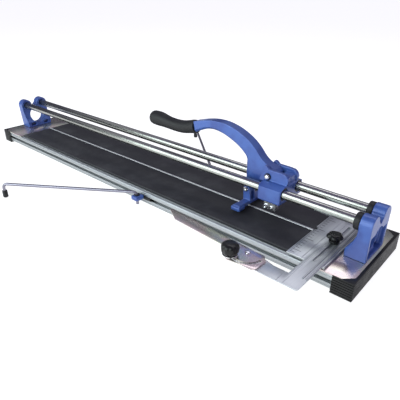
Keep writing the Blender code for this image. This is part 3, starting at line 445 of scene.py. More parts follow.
@dataclass(frozen=True)
class PlatedSteel:
    """Zinc-plated steel with a faint spangle."""

    colour: Colour = (0.62, 0.62, 0.64)
    roughness: float = 0.26

    def build(self, name: str = "plated_steel") -> bpy.types.Material:
        """Makes the material."""
        graph = Graph(name)
        spangle = graph.cells(420.0)
        fine = graph.grain(1800.0, 3.0)
        tone = graph.mix(spangle.spread(0.1, 0.8), self.colour, (0.78, 0.78, 0.80))
        tone = graph.mix(graph.grain(150.0, 5.0).spread(0.6, 0.72) * 0.3, tone, (0.30, 0.29, 0.28))
        graph.bump(fine, 0.00005, 0.3)
        return graph.surface(tone, fine.spread(0.3, 0.7, self.roughness, self.roughness + 0.1), 1.0)


@dataclass(frozen=True)
class MouldedPlastic:
    """Black moulded plastic with a spark-eroded texture and scuffs."""

    colour: Colour = (0.006, 0.006, 0.006)
    scuff: Colour = (0.03, 0.03, 0.028)
    roughness: float = 0.42

    def build(self, name: str = "moulded_plastic") -> bpy.types.Material:
        """Makes the material."""
        graph = Graph(name)
        skin = graph.grain(2400.0, 3.0)
        cloud = graph.grain(40.0, 4.0)
        mark = graph.grain(260.0, 6.0, rough=0.72).spread(0.62, 0.74)
        tone = graph.mix(cloud.spread(0.35, 0.7) * 0.35, self.colour, (0.020, 0.020, 0.021))
        tone = graph.mix(mark * 0.45, tone, self.scuff)
        graph.bump(skin, 0.00008, 0.4)
        rough = cloud.spread(0.3, 0.7, self.roughness - 0.06, self.roughness + 0.08)
        return graph.surface(tone, rough, 0.0, specular=0.3)


@dataclass(frozen=True)
class SheetRubber:
    """Dense rubber with a pebbled skin and dust in it."""

    colour: Colour = (0.026, 0.026, 0.030)
    dust: Colour = (0.075, 0.075, 0.080)
    pebble: float = 950.0
    roughness: float = 0.66

    def build(self, name: str = "sheet_rubber") -> bpy.types.Material:
        """Makes the material."""
        graph = Graph(name)
        skin = graph.cells(self.pebble)
        cloud = graph.grain(16.0, 6.0, rough=0.6)
        speck = graph.grain(700.0, 2.0).spread(0.66, 0.74)
        tone = graph.mix(cloud.spread(0.4, 0.75) * 0.5, self.colour, self.dust)
        tone = graph.mix(speck * 0.3, tone, self.dust)
        graph.bump(skin, 0.0002, 0.4)
        rough = cloud.spread(0.3, 0.7, self.roughness - 0.08, self.roughness + 0.1)
        return graph.surface(tone, rough, 0.0, specular=0.3)


# ---------------------------------------------------------------- shapes
def arc(centre: Flat, radius: float, start: float, stop: float, steps: int) -> list[Flat]:
    """Points along an arc.

    Args:
        centre: its centre.
        radius: its radius.
        start: first angle in degrees.
        stop: last angle in degrees.
        steps: number of chords.

    Returns:
        steps + 1 points.
    """
    turns = [math.radians(start + (stop - start) * index / steps) for index in range(steps + 1)]
    return [(centre[0] + radius * math.cos(t), centre[1] + radius * math.sin(t)) for t in turns]


def sharp_edges(bm: bmesh.types.BMesh, least: float = 30.0) -> list[bmesh.types.BMEdge]:
    """Edges whose faces meet at more than an angle in degrees."""
    limit = math.radians(least)
    return [edge for edge in bm.edges if len(edge.link_faces) == 2
            and edge.calc_face_angle(0.0) > limit]


def round_off(bm: bmesh.types.BMesh, width: float, segments: int = 2, least: float = 30.0) -> None:
    """Rounds the sharp edges.

    Args:
        bm: the mesh to change.
        width: width of the rounding.
        segments: facets across it.
        least: smallest angle that counts as sharp, in degrees.
    """
    if width > 0:
        bmesh.ops.bevel(bm, geom=sharp_edges(bm, least), offset=width, segments=segments,
                        profile=0.5, affect="EDGES", material=-1, clamp_overlap=True)


def block(low: Point, high: Point, rounding: float = 0.0006, segments: int = 2) -> bmesh.types.BMesh:
    """Block between two corners, with rounded edges."""
    bm = bmesh.new()
    bmesh.ops.create_cube(bm, size=1.0)
    size = Vector(high) - Vector(low)
    bmesh.ops.scale(bm, vec=size, verts=bm.verts)
    bmesh.ops.translate(bm, vec=(Vector(low) + Vector(high)) / 2, verts=bm.verts)
    round_off(bm, rounding, segments)
    return bm


def prism(outline: Sequence[Flat], axis: Axis, low: float, high: float,
          rounding: float = 0.0005, segments: int = 2) -> bmesh.types.BMesh:
    """Flat outline thickened along an axis.

    Args:
        outline: its corners on the axis's page.
        axis: direction of the thickness.
        low: where the thickness starts.
        high: where it ends.
        rounding: width of the rounded edges.
        segments: facets across the rounding.

    Returns:
        The solid.
    """
    bm = bmesh.new()
    corners = [bm.verts.new((u, v, low)) for u, v in outline]
    face = bm.faces.new(corners)
    raised = bmesh.ops.extrude_face_region(bm, geom=[face])["geom"]
    top = [item for item in raised if isinstance(item, bmesh.types.BMVert)]
    bmesh.ops.translate(bm, vec=(0, 0, high - low), verts=top)
    page = axis.page()
    if axis is Axis.Y:
        page = page @ Matrix.Diagonal((1, 1, -1, 1))
    bmesh.ops.transform(bm, matrix=page, verts=bm.verts)
    bmesh.ops.recalc_face_normals(bm, faces=bm.faces)
    round_off(bm, rounding, segments)
    return bm


def lathe(profile: Sequence[Flat], centre: Point, axis: Axis = Axis.Z, steps: int = 64,
          rounding: float = 0.0) -> bmesh.types.BMesh:
    """Turned solid.

    Args:
        profile: radius and height of each corner; a first radius above 0 leaves a bore.
        centre: the point that height 0 stands on.
        axis: the axis it turns about.
        steps: facets round it.
        rounding: width of the rounded edges.

    Returns:
        The solid.
    """
    bm = bmesh.new()
    knots = [bm.verts.new((radius, 0, height)) for radius, height in profile]
    edges = [bm.edges.new(pair) for pair in zip(knots, knots[1:])]
    if profile[0][0] > 0:
        edges.append(bm.edges.new((knots[-1], knots[0])))
    bmesh.ops.spin(bm, geom=knots + edges, cent=(0, 0, 0), axis=(0, 0, 1), angle=math.tau,
                   steps=steps, use_merge=True, use_duplicate=False)
    bmesh.ops.remove_doubles(bm, verts=bm.verts, dist=1e-6)
    bmesh.ops.recalc_face_normals(bm, faces=bm.faces)
    round_off(bm, rounding, 2, 40)
    bmesh.ops.transform(bm, matrix=Matrix.Translation(centre) @ axis.standing(), verts=bm.verts)
    return bm


def tube(centre: Point, outer: float, inner: float, length: float, axis: Axis,
         rounding: float = 0.0006, steps: int = 64) -> bmesh.types.BMesh:
    """Ring or tube centred on a point, with its bore."""
    half = length / 2
    profile = [(inner, half), (outer, half), (outer, -half), (inner, -half)]
    return lathe(profile, centre, axis, steps, rounding)


def sweep(path: Sequence[Vector], radii: Sequence[float], sides: int = 32,
          tall: float = 1.0) -> bmesh.types.BMesh:
    """Round bar along a path.

    Args:
        path: its centre line.
        radii: its radius at each point.
        sides: facets round it.
        tall: height over width of its section.

    Returns:
        The closed solid.
    """
    frames = []
    for index, point in enumerate(path):
        before = path[max(index - 1, 0)]
        after = path[min(index + 1, len(path) - 1)]
        ahead = (after - before).normalized()
        side = ahead.cross(Vector((0, 0, 1)))
        if side.length < 0.05:
            side = frames[-1].col[0].to_3d() if frames else Vector((0, 1, 0))
        side.normalize()
        rise = side.cross(ahead).normalized()
        if frames:
            side_before = frames[-1].col[0].to_3d().normalized()
            side = (side_before - ahead * side_before.dot(ahead)).normalized()
            rise = side.cross(ahead).normalized()
        scale = radii[index]
        basis = Matrix((side * scale, rise * scale * tall, ahead * scale)).transposed().to_4x4()
        frames.append(Matrix.Translation(point) @ basis)
    bm = bmesh.new()
    bmesh.ops.create_circle(bm, cap_ends=False, segments=sides, radius=1.0)
    bmesh.ops.transform(bm, matrix=frames[0], verts=bm.verts)
    ring = list(bm.edges)
    first = ring
    for before, after in zip(frames, frames[1:]):
        raised = bmesh.ops.extrude_edge_only(bm, edges=ring)["geom"]
        ring = [item for item in raised if isinstance(item, bmesh.types.BMEdge)]
        knots = [item for item in raised if isinstance(item, bmesh.types.BMVert)]
        bmesh.ops.transform(bm, matrix=after @ before.inverted(), verts=knots)
    for loop in (first, ring):
        bmesh.ops.holes_fill(bm, edges=loop)
    bmesh.ops.recalc_face_normals(bm, faces=bm.faces)
    return bm


def smooth_path(points: Sequence[Point], radii: Sequence[float],
                fineness: int) -> tuple[list[Vector], list[float]]:
    """Smooth curve through points, with its radii.

    Args:
        points: what it passes through.
        radii: radius at each point.
        fineness: stretches between two points.

    Returns:
        Its points and radii.
    """
    knots = [Vector((*point, 0)).to_4d() for point in points]
    for knot, radius in zip(knots, radii):
        knot.w = radius
    padded = [knots[0] * 2 - knots[1], *knots, knots[-1] * 2 - knots[-2]]
    path, widths = [], []
    for index in range(len(knots) - 1):
        a, b, c, d = padded[index:index + 4]
        for step in range(fineness + (index == len(knots) - 2)):
            t = step / fineness
            value = 0.5 * (2 * b + (c - a) * t + (2 * a - 5 * b + 4 * c - d) * t * t
                           + (3 * b - a - 3 * c + d) * t ** 3)
            path.append(value.to_3d())
            widths.append(value.w)
    return path, widths


def merge(*shapes: bmesh.types.BMesh) -> bmesh.types.BMesh:
    """One mesh that holds several solids."""
    total = shapes[0]
    for shape in shapes[1:]:
        spare = bpy.data.meshes.new("spare")
        shape.to_mesh(spare)
        shape.free()
        total.from_mesh(spare)
        bpy.data.meshes.remove(spare)
    return total


def as_object(bm: bmesh.types.BMesh, name: str, crease: float = 35.0) -> bpy.types.Object:
    """Object from a mesh, shaded smooth except at creases.

    Args:
        bm: the mesh, which is freed.
        name: the object's name.
        crease: angle in degrees past which an edge stays sharp.

    Returns:
        The object.
    """
    mesh = bpy.data.meshes.new(name)
    bm.to_mesh(mesh)
    bm.free()
    item = bpy.data.objects.new(name, mesh)
    bpy.context.scene.collection.objects.link(item)
    mesh.shade_smooth()
    mesh.set_sharp_from_angle(angle=math.radians(crease))
    return item


def settled(item: bpy.types.Object, crease: float = 35.0) -> bpy.types.Object:
    """The object with its modifiers worked into its mesh."""
    bpy.context.view_layer.update()
    graph = bpy.context.evaluated_depsgraph_get()
    mesh = bpy.data.meshes.new_from_object(item.evaluated_get(graph))
    item.modifiers.clear()
    item.data = mesh
    mesh.shade_smooth()
    mesh.set_sharp_from_angle(angle=math.radians(crease))
    return item


def carved(item: bpy.types.Object, tools: Iterable[bmesh.types.BMesh],
           operation: str = "DIFFERENCE", crease: float = 35.0) -> bpy.types.Object:
    """The object after Booleans.

    Args:
        item: the object to change.
        tools: the solids it is cut by or joined to.
        operation: DIFFERENCE or UNION.
        crease: angle in degrees past which an edge stays sharp.

    Returns:
        The same object.
    """
    cutters = [as_object(tool, "tool") for tool in tools]
    for cutter in cutters:
        boolean = item.modifiers.new("cut", "BOOLEAN")
        boolean.operation = operation
        boolean.object = cutter
    settled(item, crease)
    for cutter in cutters:
        bpy.data.objects.remove(cutter, do_unlink=True)
    return item


def cast_copy(node: str, name: str, voxel: float, passes: int,
              cuts: Sequence[bmesh.types.BMesh] = ()) -> bpy.types.Object:
    """Copy of a CAD solid with the soft edges of a casting.

    Args:
        node: the CAD node.
        name: the new object's name.
        voxel: size of its fine cells.
        passes: rounds of smoothing.
        cuts: solids that are taken off before its edges are softened.

    Returns:
        The object.
    """
    bm = bmesh.new()
    bm.from_mesh(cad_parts[node].data)
    bmesh.ops.remove_doubles(bm, verts=bm.verts, dist=1e-6)
    item = as_object(bm, name)
    if cuts:
        carved(item, cuts)
    remesh = item.modifiers.new("cells", "REMESH")
    remesh.mode = "VOXEL"
    remesh.voxel_size = voxel
    remesh.use_smooth_shade = True
    settled(item)
    bm = bmesh.new()
    bm.from_mesh(item.data)
    for _ in range(passes):
        bmesh.ops.smooth_vert(bm, verts=bm.verts, factor=0.5, use_axis_x=True, use_axis_y=True,
                              use_axis_z=True)
    bm.to_mesh(item.data)
    bm.free()
    item.data.shade_smooth()
    return item


# ---------------------------------------------------------------- placing pieces
class Workshop:
    """Keeps each finish once and hands pieces over to their bodies."""

    def __init__(self) -> None:
        """Builds the finishes."""
        self.blue = CastPaint().build()
        self.bed_metal = DrawnAluminium().build("bed_aluminium")
        self.cross_metal = DrawnAluminium(lines=Axis.Y).build("cross_brushed_aluminium")
        self.ruler = RulerPlate((0.50, 0.53, 0.55), (0.62, 0.65, 0.66), Axis.Y).build()
        self.strip_metal = DrawnAluminium((0.56, 0.56, 0.57), (0.64, 0.64, 0.65),
                                          roughness=0.48).build("bright_strip")
        self.chrome = Chrome().build()
        self.tube_chrome = Chrome((0.40, 0.41, 0.38), roughness=0.22).build("tube_chrome")
        # painted shade: near-black steel, used on the gauge carrier so the blade's arc slot reads as
        # shade
        self.shade_dark_steel = PlatedSteel((0.10, 0.10, 0.11), 0.45).build("painted_shade_steel")
        self.rod_chrome = Chrome((0.26, 0.25, 0.30), roughness=0.30).build("rod_plating")
        self.sheet = TintedSheet().build()
        self.steel = PlatedSteel().build()
        self.bright_steel = PlatedSteel((0.78, 0.78, 0.80), 0.14).build("bright_steel")
        self.plastic = MouldedPlastic().build()
        self.knob_plastic = MouldedPlastic(roughness=0.27).build("glossy_knob_plastic")
        self.pad_rubber = SheetRubber().build()
        self.grip_rubber = SheetRubber((0.012, 0.012, 0.013), (0.03, 0.03, 0.032), 1500.0,
                                       0.5).build("grip_rubber")
        self.placed: list[str] = []

    def place(self, item: bpy.types.Object, material: bpy.types.Material, body: str, slot: Slot,
              *nodes: str) -> bpy.types.Object:
        """Gives a piece its finish, its body and the CAD nodes it stands for.

        Args:
            item: the piece.
            material: its finish.
            body: the body it rides on.
            slot: the record's slot; not used.
            nodes: the CAD nodes it replaces.

        Returns:
            The piece.
        """
        item.data.materials.clear()
        item.data.materials.append(material)
        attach(item, body)
        if nodes:
            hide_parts(*nodes)
        self.placed.append(item.name)
        LOG.info("%s rides on %s", item.name, body)
        return item

    def add(self, bm: bmesh.types.BMesh, name: str, material: bpy.types.Material, body: str,
            slot: Slot, *nodes: str, crease: float = 35.0) -> bpy.types.Object:
        """Makes a piece from a mesh and places it.

        Args:
            bm: the mesh, which is freed.
            name: the piece's name.
            material: its finish.
            body: the body it rides on.
            slot: the record's slot.
            nodes: the CAD nodes it replaces.
            crease: angle in degrees past which an edge stays sharp.

        Returns:
            The piece.
        """
        return self.place(as_object(bm, name, crease), material, body, slot, *nodes)

    def cast(self, node: str, name: str, material: bpy.types.Material, body: str, slot: Slot,
             voxel: float, passes: int) -> bpy.types.Object:
        """Places a soft-edged copy of a CAD node.

        Args:
            node: the CAD node, which it replaces.
            name: the piece's name.
            material: its finish.
            body: the body it rides on.
            slot: the record's slot.
            voxel: size of its fine cells.
            passes: rounds of smoothing.

        Returns:
            The piece.
        """
        return self.place(cast_copy(node, name, voxel, passes), material, body, slot, node)

    def dress(self, node: str, material: bpy.types.Material) -> None:
        """Gives a CAD node that stays a finer material."""
        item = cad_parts[node]
        for slot in item.material_slots:
            slot.material = material
        LOG.info("%s keeps its CAD shape", node)


# ---------------------------------------------------------------- sub-assemblies
@dataclass
class Bed:
    """Aluminium bed with its end mouldings, end plates, pads and breaking strip."""

    half_length: float = 0.6595
    half_width: float = 0.1135
    bottom: float = 0.006
    top: float = 0.037
    slot_height: float = 0.021
    cap_outer: float = 0.666
    cap_length: float = 0.043
    cap_half_width: float = 0.1163
    cap_top: float = 0.040
    corner: float = 0.019
    rib_count: int = 7
    groove: Flat = (0.0017, 0.0016)
    pad_span: Flat = (-0.540, 0.562)
    pad_rows: Flat = (0.0034, 0.1024)
    pad_top: float = 0.0435
    ridge_half: float = 0.003
    ridge_side: float = 0.0418
    ridge_round: Flat = (0.0411, 0.0032)

    def half_section(self) -> list[Flat]:
        """Section of the far half of the channel, from the middle round to the middle."""
        w, b, t, s = self.half_width, self.bottom, self.top, self.slot_height
        side = [(w - 0.0165, b), (w - 0.0010, b), (w, b + 0.0010), (w, b + 0.0040),
                (w - 0.0008, b + 0.0046), (w - 0.0008, b + 0.0056), (w, b + 0.0062),
                (w, s - 0.0046), (w - 0.0006, s - 0.0040), (w - 0.0035, s - 0.0040),
                (w - 0.0035, s - 0.0080), (w - 0.0105, s - 0.0080), (w - 0.0105, s + 0.0080),
                (w - 0.0035, s + 0.0080), (w - 0.0035, s + 0.0040), (w - 0.0006, s + 0.0040),
                (w, s + 0.0046), (w, t - 0.0065), (w - 0.0010, t - 0.0055),
                (w - 0.0010, t - 0.0046), (w, t - 0.0036)]
        side += arc((w - 0.0030, t - 0.0030), 0.0030, 10, 90, 5)
        side += [(w - 0.0060, t), (w - 0.0064, t - 0.0005), (w - 0.0072, t - 0.0005),
                 (w - 0.0076, t)]
        inner = [(0.0, t), (0.0, t - 0.004), (0.0345, t - 0.004), (0.0345, b), (0.0375, b),
                 (0.0375, t - 0.004), (w - 0.0165, t - 0.004)]
        return side + inner

    def build_channel(self, shop: Workshop) -> None:
        """Makes the extruded channel."""
        bm = prism(self.half_section(), Axis.X, -self.half_length, self.half_length, 0.0)
        bmesh.ops.mirror(bm, geom=list(bm.verts) + list(bm.edges) + list(bm.faces),
                         matrix=Matrix.Identity(4), merge_dist=-1.0, axis="Y")
        bmesh.ops.remove_doubles(bm, verts=bm.verts, dist=1e-6)
        middle = [face for face in bm.faces if abs(face.calc_center_median().y) < 1e-6]
        bmesh.ops.delete(bm, geom=middle, context="FACES_ONLY")
        bmesh.ops.recalc_face_normals(bm, faces=bm.faces)
        shop.add(bm, "bed_channel", shop.bed_metal, "base", Slot.ALUMINIUM, "bed_extrusion")

    def cap_slab(self, side: int, grow: float, low: float, high: float,
                 rounding: float) -> bmesh.types.BMesh:
        """One layer of an end moulding: a U round the bed's end.

        Args:
            side: -1 at the left and 1 at the right.
            grow: how far its outside stands in from full size.
            low: its underside.
            high: its top.
            rounding: width of its rounded edges.

        Returns:
            The layer.
        """
        out = self.cap_outer - grow
        wide = self.cap_half_width - grow
        inner = self.cap_outer - self.cap_length + min(grow, 0.001)
        deep, room = self.half_length + PLAY, self.half_width + PLAY
        outline = [(inner, -wide), (out, -wide), (out, wide), (inner, wide), (inner, room),
                   (deep, room), (deep, -room), (inner, -room)]
        return prism([(side * x, y) for x, y in outline], Axis.Z, low, high, rounding, 2)

    def build_cap(self, shop: Workshop, label: str, side: int) -> None:
        """Makes one ribbed end moulding.

        Args:
            shop: where finishes come from.
            label: left or right.
            side: -1 or 1.
        """
        pitch = (self.top + PLAY) / self.rib_count
        layers = [self.cap_slab(side, self.groove[1], 0.0005, self.top + PLAY, 0.0)]
        for index in range(self.rib_count):
            layers.append(self.cap_slab(side, 0.0, pitch * index, pitch * (index + 1) - self.groove[0],
                                        0.0004))
        inner = self.cap_outer - self.cap_length
        spans = sorted((side * (inner + 0.001), side * (self.cap_outer - 0.001)))
        layers.append(block((spans[0], 0.001 - self.cap_half_width, 0.0002),
                            (spans[1], self.cap_half_width - 0.001, self.bottom - 0.0004)))
        deep, plate = self.half_length + PLAY, self.half_width + 0.0013
        rim = [(inner, -self.cap_half_width), (self.cap_outer, -self.cap_half_width),
               (self.cap_outer, self.cap_half_width), (inner, self.cap_half_width),
               (inner, plate), (deep - self.corner, plate), (deep, plate - self.corner),
               (deep, self.corner - plate), (deep - self.corner, -plate), (inner, -plate)]
        layers.append(prism([(side * x, y) for x, y in rim], Axis.Z, self.top + PLAY,
                            self.cap_top, 0.0006, 2))
        shop.add(merge(*layers), f"end_moulding_{label}", shop.plastic, "base", Slot.PLASTIC,
                 f"end_cap_{label}")

    def build_plate(self, shop: Workshop, label: str, side: int, inner: float) -> None:
        """Makes one polished end plate.

        Args:
            shop: where finishes come from.
            label: left or right.
            side: -1 or 1.
            inner: distance of its inner edge from the middle.
        """
        outer, half = self.half_length, self.half_width + 0.001
        outline = [(inner, -half), (outer - self.corner, -half), (outer, self.corner - half),
                   (outer, half - self.corner), (outer - self.corner, half), (inner, half)]
        bm = prism([(side * x, y) for x, y in outline], Axis.Z, self.top + PLAY, self.cap_top,
                   0.0004)
        shop.add(bm, f"end_sheet_{label}", shop.sheet, "base", Slot.PLATE, f"end_plate_{label}")

    def build_pads(self, shop: Workshop) -> None:
        """Makes the two rubber pads and the strip between them."""
        low = self.top + PLAY
        for label, side in (("near", -1), ("far", 1)):
            spans = sorted(side * row for row in self.pad_rows)
            bm = block((self.pad_span[0], spans[0], low), (self.pad_span[1], spans[1], self.pad_top),
                       0.0010, 3)
            shop.add(bm, f"tile_pad_{label}", shop.pad_rubber, "base", Slot.RUBBER, f"pad_{label}")
        half, centre, radius = self.ridge_half, *self.ridge_round
        ridge = [(-half, low), (half, low), (half, self.ridge_side)]
        ridge += arc((0.0, centre), radius, 15, 165, 8) + [(-half, self.ridge_side)]
        bm = prism(ridge, Axis.X, *self.pad_span, 0.0)
        shop.add(bm, "snapping_ridge", shop.strip_metal, "base", Slot.ALUMINIUM, "break_strip",
                 crease=50)

    def build(self, shop: Workshop) -> None:
        """Makes every piece of the bed."""
        self.build_channel(shop)
        for label, side, inner in (("left", -1, 0.545), ("right", 1, 0.566)):
            self.build_cap(shop, label, side)
            self.build_plate(shop, label, side, inner)
        self.build_pads(shop)


@dataclass
class RailFrame:
    """Cast brackets, guide tubes and their rubber buffers."""

    offset: float = 0.0294
    height: float = 0.1175
    radius: float = 0.0103
    bore: float = 0.0075
    half_length: float = 0.650
    neck: float = 0.630
    buffer_radius: float = 0.0175
    buffer_length: float = 0.0122

    def build(self, shop: Workshop) -> None:
        """Makes the brackets, tubes and buffers."""
        for label in ("left", "right"):
            shop.cast(f"bracket_{label}", f"rail_bracket_{label}", shop.blue, "base", Slot.BLUE,
                      0.0010, 5)
        for label, side in (("near", -1), ("far", 1)):
            centre = (0.0, side * self.offset, self.height)
            bm = tube(centre, self.radius, self.bore, 2 * self.half_length, Axis.X, 0.0004, 96)
            shop.add(bm, f"guide_tube_{label}", shop.tube_chrome, "base", Slot.CHROME,
                     f"rail_{label}")
            middle = self.neck - PLAY - self.buffer_length / 2
            ring = tube((middle, side * self.offset, self.height), self.buffer_radius,
                        self.radius + PLAY, self.buffer_length, Axis.X, 0.0022, 64)
            shop.add(ring, f"buffer_{label}", shop.grip_rubber, "base", Slot.RUBBER,
                     f"bumper_{label}")


@dataclass
class Carriage:
    """Cast carriage with the handle's pivot bolt."""

    pivot: Point = (0.413, 0.0, 0.1435)
    cheek: float = 0.024

    def build(self, shop: Workshop) -> None:
        """Makes the casting, its bolt, washer and nut."""
        shop.cast("carriage_body", "carriage_casting", shop.blue, "carriage", Slot.BLUE, 0.0009, 3)
        x, _, z = self.pivot
        washer = tube((x, -self.cheek - 0.00155, z), 0.0078, 0.0043, 0.0025, Axis.Y, 0.0006, 48)
        shop.add(washer, "pivot_spacer", shop.plastic, "carriage", Slot.PLASTIC, "pivot_washer")
        base = self.cheek + 0.0031
        dome = [(0.0, base + 0.0047)] + [(r, base + h * 0.76) for r, h in
                                         arc((0.0, 0.0), 0.0062, 80, 0, 8)]
        dome += [(0.0040, base), (0.0040, -0.033), (0.0, -0.033)]
        bm = lathe([(r, -h) for r, h in dome], self.pivot, Axis.Y, 48)
        shop.add(bm, "pivot_dome_bolt", shop.bright_steel, "carriage", Slot.STEEL, "pivot_bolt")
        bm = bmesh.new()
        bmesh.ops.create_cone(bm, cap_ends=True, segments=6, radius1=0.0078, radius2=0.0078,
                              depth=0.007)
        round_off(bm, 0.0005, 2)
        turn = Matrix.Translation((x, self.cheek + 0.0038, z)) @ Axis.Y.standing()
        bmesh.ops.transform(bm, matrix=turn, verts=bm.verts)
        nut = carved(as_object(bm, "pivot_hex_nut"),
                     [tube((x, 0.0, z), 0.0043, 0.0001, 0.2, Axis.Y, 0.0, 32)])
        shop.place(nut, shop.steel, "carriage", Slot.STEEL, "pivot_nut")
        for label in ("near", "far"):
            shop.dress(f"bushing_{label}", shop.plastic)


@dataclass
class Handle:
    """Arched lever with its rubber grip."""

    centre_line: tuple[Point, ...] = (
        (0.0258, 0.1962, 0.50), (0.0264, 0.1962, 0.78), (0.0280, 0.1962, 0.94),
        (0.0318, 0.1962, 1.07), (0.0390, 0.1962, 1.14), (0.0550, 0.1958, 1.16),
        (0.0720, 0.1942, 1.06), (0.0900, 0.1923, 0.98), (0.1150, 0.1910, 0.97),
        (0.1400, 0.1922, 0.99), (0.1600, 0.1962, 1.0), (0.1750, 0.2000, 1.03),
        (0.1842, 0.2018, 1.0))
    radius: float = 0.0163

    def build(self, shop: Workshop) -> None:
        """Makes the lever and the grip."""
        shop.cast("lever_casting", "arched_lever", shop.blue, "handle", Slot.BLUE, 0.0010, 2)
        points = [(x, 0.0, z) for x, z, _ in self.centre_line]
        path, widths = smooth_path(points, [self.radius * s for _, _, s in self.centre_line], 5)
        bm = sweep(path, widths, 48)
        shop.add(bm, "rubber_grip", shop.grip_rubber, "handle", Slot.RUBBER, "grip", crease=50)


@dataclass(frozen=True)
class Screw:
    """Screw across the lever, with a rounded head on its near side.

    The head sits at face, measured from a centre on the screw's axis, and the shank reaches end on
    the other side. The socket is the radius of the drive recess.
    """

    centre: Point
    face: float
    radius: float
    tall: float
    shank: float
    end: float
    socket: float

    def shape(self) -> bmesh.types.BMesh:
        """The screw as one solid."""
        face, radius, tall = self.face, self.radius, self.tall
        profile = [(0.0, face + tall * 0.45), (self.socket, face + tall * 0.45),
                   (self.socket, face + tall), (radius * 0.8, face + tall),
                   (radius * 0.96, face + tall * 0.8), (radius, face + tall * 0.5),
                   (radius, face), (self.shank, face), (self.shank, -self.end), (0.0, -self.end)]
        return lathe([(r, -h) for r, h in profile], self.centre, Axis.Y, 48)


@dataclass
class ScoreHead:
    """Wheel holder, scoring wheel and breaking foot under the lever."""

    wheel: Point = (0.419, 0.0, 0.062)
    pin: Screw = Screw((0.419, 0.0, 0.062), 0.0083, 0.0048, 0.0020, 0.0022, 0.0093, 0.0015)
    clamp: Screw = Screw((0.4030, 0.0, 0.0615), 0.0083, 0.0055, 0.0040, 0.0025, 0.0093, 0.0022)
    foot: Screw = Screw((0.350, 0.0, 0.0895), 0.0118, 0.0060, 0.0050, 0.0030, 0.0138, 0.0024)

    def build(self, shop: Workshop) -> None:
        """Makes the head's pieces."""
        shop.cast("wheel_holder", "wheel_fork", shop.steel, "handle", Slot.STEEL, 0.0005, 2)
        flank = [(0.0025, 0.0015), (0.0060, 0.0015), (0.0080, 0.0013), (0.0093, 0.0012),
                 (0.0105, 0.0001)]
        disc = flank + [(radius, -height) for radius, height in reversed(flank)]
        shop.add(lathe(disc, self.wheel, Axis.Y, 72), "scoring_disc", shop.bright_steel, "wheel",
                 Slot.STEEL, "scoring_wheel", crease=20)
        for screw, name, node, finish, slot in (
                (self.pin, "wheel_pin", "wheel_axle", shop.bright_steel, Slot.STEEL),
                (self.clamp, "fork_screw", "holder_bolt", shop.chrome, Slot.CHROME),
                (self.foot, "foot_screw", "breaker_bolt", shop.chrome, Slot.CHROME)):
            shop.add(screw.shape(), name, finish, "handle", slot, node)
        shop.cast("breaker_foot", "breaking_foot", shop.blue, "foot", Slot.BLUE, 0.0008, 4)


@dataclass
class SideArm:
    """Swinging tile support on one side of the bed."""

    label: str
    side: int
    x: float
    heading: float
    offset: float = 0.130
    reach: float = 0.367
    height: float = 0.0395
    radius: float = 0.004
    bend: float = 0.011

    def rod_line(self) -> list[Vector]:
        """Centre line of the bent rod."""
        ahead = Vector((math.cos(self.heading), math.sin(self.heading), 0.0))
        up = Vector((0.0, 0.0, 1.0))
        start = Vector((self.x, self.side * self.offset, 0.0))
        end = start + ahead * self.reach
        path = [start + up * 0.006, start + up * 0.016, start + up * (self.height - self.bend - 0.001)]
        corner = start + ahead * self.bend + up * (self.height - self.bend)
        for index in range(1, 9):
            t = math.pi / 2 * index / 8
            path.append(corner + (up * math.sin(t) - ahead * math.cos(t)) * self.bend)
        path += [start.lerp(end, share) + up * self.height for share in (0.1, 0.3, 0.5, 0.7, 0.9)]
        corner = end - ahead * self.bend + up * (self.height - self.bend)
        for index in range(9):
            t = math.pi / 2 * index / 8
            path.append(corner + (ahead * math.sin(t) + up * math.cos(t)) * self.bend)
        path.append(end + up * 0.0085)
        return path

    def build(self, shop: Workshop) -> None:
        """Makes the rod, its tip, its collar, the clamp block and the slide."""
        label, arm, slide = self.label, f"{self.label}_arm", f"{self.label}_slide"
        path = self.rod_line()
        rod = sweep(path, [self.radius] * len(path), 32)
        shop.add(rod, f"support_rod_{label}", shop.rod_chrome, arm, Slot.CHROME,
                 f"arm_rod_{label}", crease=50)
        end = path[-1]
        tip = [(0.0, 0.0080), (0.0043, 0.0080), (0.0043, 0.0205), (0.0052, 0.0210),
               (0.0060, 0.0206), (0.0066, 0.0195), (0.0068, 0.0180), (0.0063, 0.0172),
               (0.0068, 0.0164), (0.0063, 0.0156), (0.0068, 0.0148), (0.0068, 0.0035),
               (0.0062, 0.0018), (0.0050, 0.0010), (0.0, 0.0010)]
        shop.add(lathe(tip, (end.x, end.y, 0.0), Axis.Z, 40), f"rod_tip_{label}",
                 shop.grip_rubber, arm, Slot.RUBBER, f"arm_tip_{label}", crease=50)
        collar = tube((self.x, self.side * self.offset, 0.0328), 0.0075, 0.0043, 0.003, Axis.Z,
                      0.0007, 40)
        shop.add(collar, f"rod_collar_{label}", shop.plastic, arm, Slot.PLASTIC,
                 f"arm_collar_{label}")
        shop.cast(f"arm_clamp_{label}", f"clamp_block_{label}", shop.blue, slide, Slot.BLUE,
                  0.0006, 4)
        shop.dress(f"arm_slider_{label}", shop.plastic)


